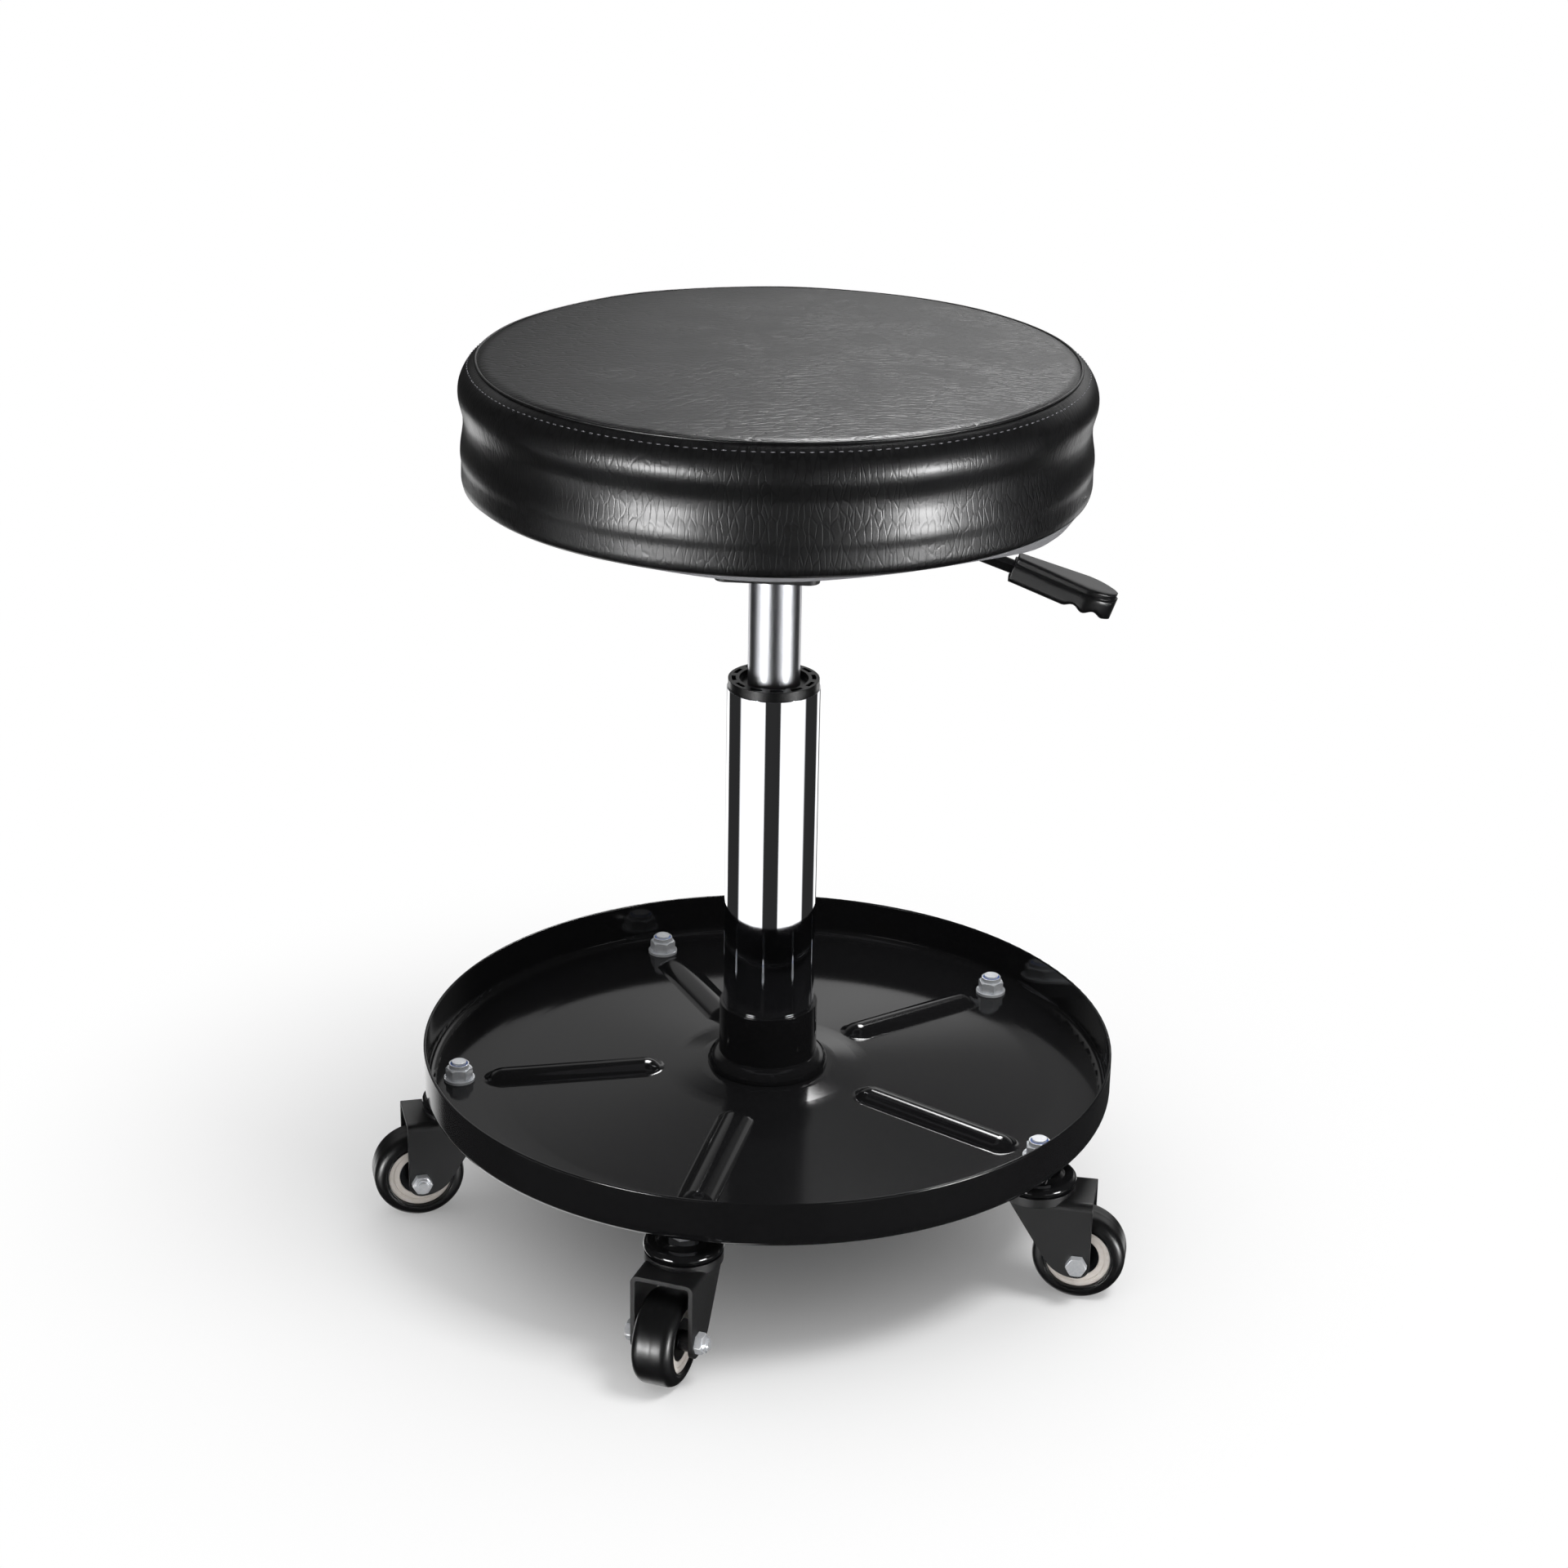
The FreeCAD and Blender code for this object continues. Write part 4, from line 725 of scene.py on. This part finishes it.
groove_target = Vector((0, 0, (SEAM[1] - GROOVE_AIM) * MM))
for vert in cushion.data.vertices:
    r, z = section_place(vert)
    if z > WAIST[1]:
        gap = math.hypot(r - SEAM[0], z - SEAM[1])
        depth = SEAM_GROOVE * MM * math.exp(-(gap / SEAM_WIDTH) ** 2)
        vert.co -= (vert.co - groove_target).normalized() * depth
print("cushion has", len(cushion.data.polygons), "faces, size", [round(c, 4) for c in cushion.dimensions])

# %% [markdown]
# ## Seam lip
#
# The two panels are sewn edge to edge and turned over, so a thin lip stands up along the seam. A spun
# ring would leave the uneven vinyl in places. So the lip follows the cushion as it came out of the cloth
# run: rays towards the middle of the seat find the vinyl, and a round curve runs through the points they
# hit.

# %% Seam lip
SEAT_MIDDLE = 460.0
RAY_START = 1.0          # metres from the middle
LIP_RADIUS = 0.8
LIP_STAND = 0.35         # how far the lip's middle stands off the vinyl
LIP_POINTS = 300

skin_tree = BVHTree.FromPolygons([vert.co for vert in cushion.data.vertices],
                                 [tuple(face.vertices) for face in cushion.data.polygons])


def on_skin(angle, section_point):
    """Point and outward normal of the vinyl at a turn, on the ray from the middle through a section point."""
    rise = math.atan2(section_point[1] - SEAT_MIDDLE, section_point[0])
    away = Vector((math.cos(angle) * math.cos(rise), math.sin(angle) * math.cos(rise), math.sin(rise)))
    hit, normal = skin_tree.ray_cast(Vector((0, 0, SEAT_MIDDLE * MM)) + away * RAY_START, -away)[:2]
    return hit, normal if normal.dot(away) > 0 else -normal


curve = bpy.data.curves.new("seat_seam_lip", "CURVE")
curve.dimensions = "3D"
curve.bevel_depth = LIP_RADIUS * MM
curve.bevel_resolution = 3
spline = curve.splines.new("POLY")
spline.points.add(LIP_POINTS - 1)
spline.use_cyclic_u = True
for index, point in enumerate(spline.points):
    place, normal = on_skin(2 * math.pi * index / LIP_POINTS, SEAM)
    point.co = (*(place + normal * LIP_STAND * MM), 1)
curve.materials.append(vinyl)
lip = bpy.data.objects.new("seat_seam_lip", curve)
bpy.context.scene.collection.objects.link(lip)
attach(lip, "seat")
print("seam lip runs through", LIP_POINTS, "points")

# %% [markdown]
# ## Stitches
#
# Five millimetres down the band a row of top stitches holds the turned edge. Each stitch is a short
# length of thread that dips into the vinyl at both ends. A texture would be flat, so each is a small
# sphere drawn out long, with few faces because there are so many.

# %% Stitches
STITCH_PITCH = 4.6
STITCH_LENGTH = 2.6
STITCH_RADIUS = 0.35
STITCH_LINE = (159.5, 485.6)

# Twisted polyester thread is grey and dull, with a fine twist.
thread = finish("grey thread", "6a6a6e", "515155", 0.6, grain_mm=0.3, bump_mm=0.03, edge_mm=0.1)
stitch_count = round(2 * math.pi * STITCH_LINE[0] / STITCH_PITCH)
stitch_size = Matrix.Diagonal((STITCH_LENGTH / 2 * MM, STITCH_RADIUS * MM, STITCH_RADIUS * MM, 1))
stitch_bm = bmesh.new()
for index in range(stitch_count):
    angle = 2 * math.pi * index / stitch_count
    place, normal = on_skin(angle, STITCH_LINE)
    along = Vector((-math.sin(angle), math.cos(angle), 0))
    turned = Matrix((along, normal.cross(along), normal)).transposed().to_4x4()
    bmesh.ops.create_uvsphere(stitch_bm, u_segments=8, v_segments=6, radius=1,
                              matrix=Matrix.Translation(place) @ turned @ stitch_size)
piece("seat_stitches", stitch_bm, thread, "seat")
print(stitch_count, "stitches")

# %% [markdown]
# ## Cloth under the seat
#
# A round of grey non-woven cloth closes the seat's underside. Its fibres are laid at random and pressed
# together at small points, so it is matt and mottled. Real fibres are finer than a hair. The pattern is
# drawn at half a millimetre, so that it shows.

# %% Non-woven cloth
FIBRE = 0.5
BOND = 1.3               # spacing of the pressed points
BOND_SHARE = 0.5
FELT_DEPTH = 0.15

felt = new_material("grey non-woven cloth")
tree = felt.node_tree
place = add(tree, "TexCoord").outputs["Object"]
fibre = add(tree, "TexNoise", {"Vector": place, "Scale": 1 / (FIBRE * MM), "Detail": 4.0, "Distortion": 1.5})
bond = add(tree, "TexVoronoi", {"Vector": place, "Scale": 1 / (BOND * MM)}).outputs["Distance"]
bond_height = add(tree, "Math", {0: bond, 1: BOND_SHARE}, operation="MULTIPLY")
felt_height = add(tree, "Math", {0: fibre, 1: bond_height}, operation="ADD")
felt_bump = add(tree, "Bump", {"Distance": FELT_DEPTH * MM, "Height": felt_height})
felt_tone = add(tree, "Mix", {0: fibre, MIX_FIRST: linear("6f6f72"), MIX_SECOND: linear("a2a2a6")},
                data_type="RGBA")
felt_shader = add(tree, "BsdfPrincipled", {"Base Color": felt_tone.outputs[MIX_RESULT], "Roughness": 0.9,
                                           "Normal": felt_bump})
add(tree, "OutputMaterial", {"Surface": felt_shader})
print("cloth pattern has", len(tree.nodes), "nodes")

# %% [markdown]
# The plate clamps the cloth's middle, and its edge is stapled under the hem. Between them it hangs slack
# by a few millimetres, most at the front, where it shows as a thin grey strip below the vinyl. Near the
# lever it bags out close to its edge. A cloth run could find such folds, but not these ones, so a formula
# lets it down.

# %% Dust cloth
CLOTH_EDGE = 160.8
CLOTH_CLAMPED = 112.0
CLOTH_TOP = 424.4
CLOTH_STEPS = 180
CLOTH_SAG = 5.0
CLOTH_LEAN = 1.6         # above 1, the deepest place lies nearer to the edge
EVEN_SLACK = 0.75        # shares of the sag: all round, more at the front, and at random
FRONT_SLACK = 0.5
RANDOM_SLACK = 0.2
RANDOM_SIZE = 50
FRONT_TURN = math.radians(-85)
FRONT_SPREAD = math.radians(22)
POUCH_TURN = math.radians(-25)
POUCH_SPREAD = math.radians(16)
POUCH_SAG = 6.0
POUCH_LEAN = 5.0


def line_points(start, end, count):
    """count points after start along a straight line."""
    return [tuple(Vector(start).lerp(Vector(end), k / count)) for k in range(1, count + 1)]


def hill(turn, middle, spread):
    """1 at a middle angle, falling off to both sides."""
    return math.exp(-((turn - middle) / spread) ** 2)


cloth_bm = bmesh.new()
cloth_section = [(0.0, CLOTH_TOP)] + line_points((0.0, CLOTH_TOP), (CLOTH_CLAMPED, CLOTH_TOP), 12)
cloth_section += line_points((CLOTH_CLAMPED, CLOTH_TOP), (CLOTH_EDGE, CLOTH_TOP), 16)
spin(cloth_bm, cloth_section, CLOTH_STEPS)
for vert in cloth_bm.verts:
    r = vert.co.to_2d().length / MM
    if r > CLOTH_CLAMPED:
        share = (r - CLOTH_CLAMPED) / (CLOTH_EDGE - CLOTH_CLAMPED)
        turn = math.atan2(vert.co.y, vert.co.x)
        slack = EVEN_SLACK + FRONT_SLACK * hill(turn, FRONT_TURN, FRONT_SPREAD)
        slack += RANDOM_SLACK * uneven(vert.co, RANDOM_SIZE, 11.0)
        belly = math.sin(math.pi * share ** CLOTH_LEAN)
        pouch = hill(turn, POUCH_TURN, POUCH_SPREAD) * math.sin(math.pi * share ** POUCH_LEAN)
        vert.co.z -= (CLOTH_SAG * belly * slack + POUCH_SAG * pouch) * MM
dust_cloth = piece("seat_underside_cloth", cloth_bm, felt, "seat", ("seat_dust_cloth",))

# %% [markdown]
# ## Lever grip
#
# The grip is a moulded paddle pushed onto the bent rod. It flares from the rod to a round tip, has a lid
# with a fine groove round it on top, and two hollows for the fingers below. A box could be cut and
# rounded to it. A loft is chosen, because two short functions then hold the whole outline: the half width
# and the hollows along the lever.

# %% Grip outline
GRIP_LENGTH = 57.0
GRIP_ROOT_WIDTH = 13.0
GRIP_WIDTH = 25.0
GRIP_SWELL = 40.0        # distance from the root where the paddle is widest
FINGERS = (35.5, 46.7)
FINGER_REACH = 5.5
FINGER_DEPTH = 2.4
GRIP_SECTIONS = 46
TIP_CROWDING = 1.5       # above 1, the sections crowd together towards the round tip
TIP_GAP = 0.05


def grip_half_width(x):
    """Half width of the paddle at a distance from its root: straight flare, then a half ellipse."""
    if x <= GRIP_SWELL:
        return (GRIP_ROOT_WIDTH + (GRIP_WIDTH - GRIP_ROOT_WIDTH) * x / GRIP_SWELL) / 2
    over = (x - GRIP_SWELL) / (GRIP_LENGTH - GRIP_SWELL)
    return GRIP_WIDTH / 2 * math.sqrt(max(0.0, 1 - over ** 2))


def grip_hollow(x):
    """How far the underside is drawn up at a distance from the root, for the fingers."""
    return FINGER_DEPTH * sum(max(0.0, math.cos((x - finger) / FINGER_REACH * math.pi / 2)) ** 2
                              for finger in FINGERS if abs(x - finger) < FINGER_REACH)


grip_places = [GRIP_LENGTH * (1 - (1 - k / GRIP_SECTIONS) ** TIP_CROWDING) for k in range(GRIP_SECTIONS)]
grip_places.append(GRIP_LENGTH - TIP_GAP)
print("grip is", 2 * grip_half_width(GRIP_SWELL), "mm wide and", GRIP_LENGTH, "mm long")

# %% [markdown]
# Each section is a rounded rectangle: a circle of points pushed out towards the corners. Bridging joins
# each ring to the next, and the two end rings are filled. The lid is a second, narrower loft that stands
# in the first.

# %% Lever grip
GRIP_ROOT = Vector((124.13, 0.0, 382.64)) * MM
GRIP_SLOPE = math.radians(19.7)
GRIP_TOP = 7.3
GRIP_DEPTH = 14.5
BODY_TOP = 4.7
BODY_CORNER = 5.0        # a larger value makes a section squarer
BODY_TIP = 0.6           # least half width
LID_INSET = 0.9
LID_SUNK = 1.5
LID_CORNER = 7.0
LID_TIP = 0.5
SECTION_SIDES = 40


def rounded_ring(bm, x, half, low, high, corner):
    """Closed ring of edges: a rounded rectangle across the paddle."""
    middle, tall = (low + high) / 2, (high - low) / 2
    verts = []
    for index in range(SECTION_SIDES):
        angle = 2 * math.pi * (index + 0.5) / SECTION_SIDES
        side, rise = math.cos(angle), math.sin(angle)
        reach = (abs(side) ** corner + abs(rise) ** corner) ** (-1 / corner)
        verts.append(bm.verts.new((x * MM, half * side * reach * MM, (middle + tall * rise * reach) * MM)))
    return [bm.edges.new(pair) for pair in zip(verts, verts[1:] + verts[:1])]


def loft(bm, rings):
    """Skin over rings of edges, closed at both ends."""
    for first, second in zip(rings, rings[1:]):
        bmesh.ops.bridge_loops(bm, edges=first + second)
    for ring in (rings[0], rings[-1]):
        bmesh.ops.edgeloop_fill(bm, edges=ring)


grip_bm = bmesh.new()
body_rings = []
for x in grip_places:
    half = max(BODY_TIP, grip_half_width(x))
    low = GRIP_TOP - GRIP_DEPTH + grip_hollow(x)
    body_rings.append(rounded_ring(grip_bm, x, half, low, BODY_TOP, BODY_CORNER))
loft(grip_bm, body_rings)
lid_rings = []
for x in grip_places:
    lid_x = LID_INSET + x * (GRIP_LENGTH - 2 * LID_INSET) / GRIP_LENGTH
    half = max(LID_TIP, grip_half_width(x) - LID_INSET)
    lid_rings.append(rounded_ring(grip_bm, lid_x, half, BODY_TOP - LID_SUNK, GRIP_TOP, LID_CORNER))
loft(grip_bm, lid_rings)
grip_matrix = Matrix.Translation(GRIP_ROOT) @ Matrix.Rotation(GRIP_SLOPE, 4, "Y")
bmesh.ops.transform(grip_bm, matrix=grip_matrix, verts=grip_bm.verts)
piece("lever_grip", grip_bm, black_plastic, "lever", ("lever_handle",), sharp_deg=50)
print("lever grip lofted from", len(grip_places), "sections")

# %% [markdown]
# ## Weld bead
#
# The collar is welded to the tray's dome. A weld run is a row of overlapping ripples under the black
# coat. A bump in the shading would leave its outline smooth, so the bead is a spun ring whose section
# swells and sinks.

# %% Weld bead
WELD_CIRCLE = 28.6
WELD_Z = 88.6
WELD_RADIUS = 4.3
WELD_TALL = 1.15         # height of the section over its width
WELD_SIDES = 18
WELD_RIPPLES = 34
RIPPLE_STEPS = 12
BEAD_LEAST = 0.95        # shares of the radius: at the least, added by a ripple, and at random
BEAD_RIPPLE = 0.09
BEAD_RANDOM = 0.16
BEAD_SIZE = 9

weld_bm = bmesh.new()
weld_angles = [2 * math.pi * k / WELD_SIDES for k in range(WELD_SIDES)]
weld_section = [(WELD_CIRCLE + WELD_RADIUS * math.cos(a), WELD_Z + WELD_TALL * WELD_RADIUS * math.sin(a))
                for a in weld_angles]
spin(weld_bm, weld_section, WELD_RIPPLES * RIPPLE_STEPS, closed=True)
for vert in weld_bm.verts:
    turn = math.atan2(vert.co.y, vert.co.x)
    core = Vector((math.cos(turn) * WELD_CIRCLE, math.sin(turn) * WELD_CIRCLE, WELD_Z)) * MM
    ripple = BEAD_RIPPLE * abs(math.sin(turn * WELD_RIPPLES / 2))
    ripple += BEAD_RANDOM * uneven(vert.co, BEAD_SIZE, 3.0)
    vert.co = core + (vert.co - core) * (BEAD_LEAST + ripple)
piece("collar_weld", weld_bm, powder_coat, "base", sharp_deg=80)
print("weld bead with", WELD_RIPPLES, "ripples")

# %% [markdown]
# ## Tyres and hubs
#
# Each tyre is moulded in two halves, which leaves a fine parting line round its middle, and it has a
# channel and a lip beside the hub. The hub's face is stepped in rings down to the bearing. Both are
# turned shapes, so each is half a section, mirrored and spun.

# %% Wheel sections
WHEEL_RADIUS = 25.0
HALF_WIDTH = 11.0
TYRE_SHOULDER = 5.5
PARTING_WIDTH = 0.8
PARTING_RISE = 0.04
SIDE_LAND = 0.6          # flat beside the shoulder
CHANNEL_EDGE = 0.9       # from the shoulder, and from the hub, to the channel's floor
CHANNEL_DEPTH = 0.5
TYRE_LIP_OUTER = 0.7     # the lip's edges, from the hub
TYRE_LIP_INNER = 0.15
TYRE_LIP_DROP = 0.3
HUB_RADIUS = 17.5
HUB_FACE = 9.4
HUB_ROUND = 0.3
GROOVE_EDGE = 0.9        # a shallow groove goes round the face, halfway in to the bearing
GROOVE_OUTER = 0.7       # its floor's two edges
GROOVE_INNER = 0.3
GROOVE_DEPTH = 0.25
HUB_STEP = 0.8
BEARING_RADIUS = 11.2
BEARING_LEAD = 0.4


def tyre_half():
    """Half section of the tyre from its middle out to its lip and in to the hub."""
    flat = HALF_WIDTH - TYRE_SHOULDER
    round_mid = TYRE_SHOULDER * math.sqrt(0.5)
    shoulder = WHEEL_RADIUS - TYRE_SHOULDER
    tread = WHEEL_RADIUS - PARTING_RISE
    points = [(WHEEL_RADIUS, 0.0), (WHEEL_RADIUS, PARTING_WIDTH / 2), (tread, PARTING_WIDTH)]
    points += line_points((tread, PARTING_WIDTH), (tread, flat), 3)
    points += arc_points((tread, flat), (shoulder + round_mid, flat + round_mid), (shoulder, HALF_WIDTH), 8)
    points += [(shoulder - SIDE_LAND, HALF_WIDTH), (shoulder - CHANNEL_EDGE, HALF_WIDTH - CHANNEL_DEPTH),
               (HUB_RADIUS + CHANNEL_EDGE, HALF_WIDTH - CHANNEL_DEPTH),
               (HUB_RADIUS + TYRE_LIP_OUTER, HALF_WIDTH), (HUB_RADIUS + TYRE_LIP_INNER, HALF_WIDTH),
               (HUB_RADIUS, HALF_WIDTH - TYRE_LIP_DROP)]
    return points


def hub_half():
    """Half section of the hub from its rim inwards, with a groove and a step down to the bearing."""
    ring = (HUB_RADIUS + BEARING_RADIUS) / 2
    groove = HUB_FACE - GROOVE_DEPTH
    inner_face = HUB_FACE - HUB_STEP
    return [(HUB_RADIUS, HUB_FACE - HUB_ROUND), (HUB_RADIUS - HUB_ROUND, HUB_FACE),
            (ring + GROOVE_EDGE, HUB_FACE), (ring + GROOVE_OUTER, groove), (ring + GROOVE_INNER, groove),
            (ring, inner_face),
            (BEARING_RADIUS + BEARING_LEAD, inner_face), (BEARING_RADIUS, inner_face - BEARING_LEAD)]


def both_sides(half):
    """Closed section from a half: the half, then its mirror image backwards."""
    return half + [(r, -z) for r, z in reversed(half) if z != 0]


print("tyre section has", len(both_sides(tyre_half())), "points, hub section", len(both_sides(hub_half())))

# %% [markdown]
# The frame lists the joints. Each rolling joint gives a wheel's middle and the direction of its axle, so
# the five wheels need no places of their own here.

# %% Tyres and hubs
WHEEL_STEPS = 96
WHEEL_PIECES = (("tyre", "_tread", tyre_half(), tread_rubber, "black_tread"),
                ("wheel_face", "_hub", hub_half(), cream_plastic, "cream_plastic"))

for joint in frame["joints"]:
    if not joint["name"].endswith("_roll"):
        continue
    wheel = joint["child"]
    caster = wheel.removesuffix("_wheel")
    turned = Vector(joint["axis"]).to_track_quat("Z", "X").to_matrix().to_4x4()
    on_axle = Matrix.Translation(Vector(joint["pos_m"])) @ turned
    for part, replaced, half, paint, slot in WHEEL_PIECES:
        wheel_bm = bmesh.new()
        spin(wheel_bm, both_sides(half), WHEEL_STEPS, closed=True)
        bmesh.ops.transform(wheel_bm, matrix=on_axle, verts=wheel_bm.verts)
        piece(caster + "_" + part, wheel_bm, paint, wheel, (caster + replaced,), sharp_deg=30)
    print("tyre and hub on", wheel)
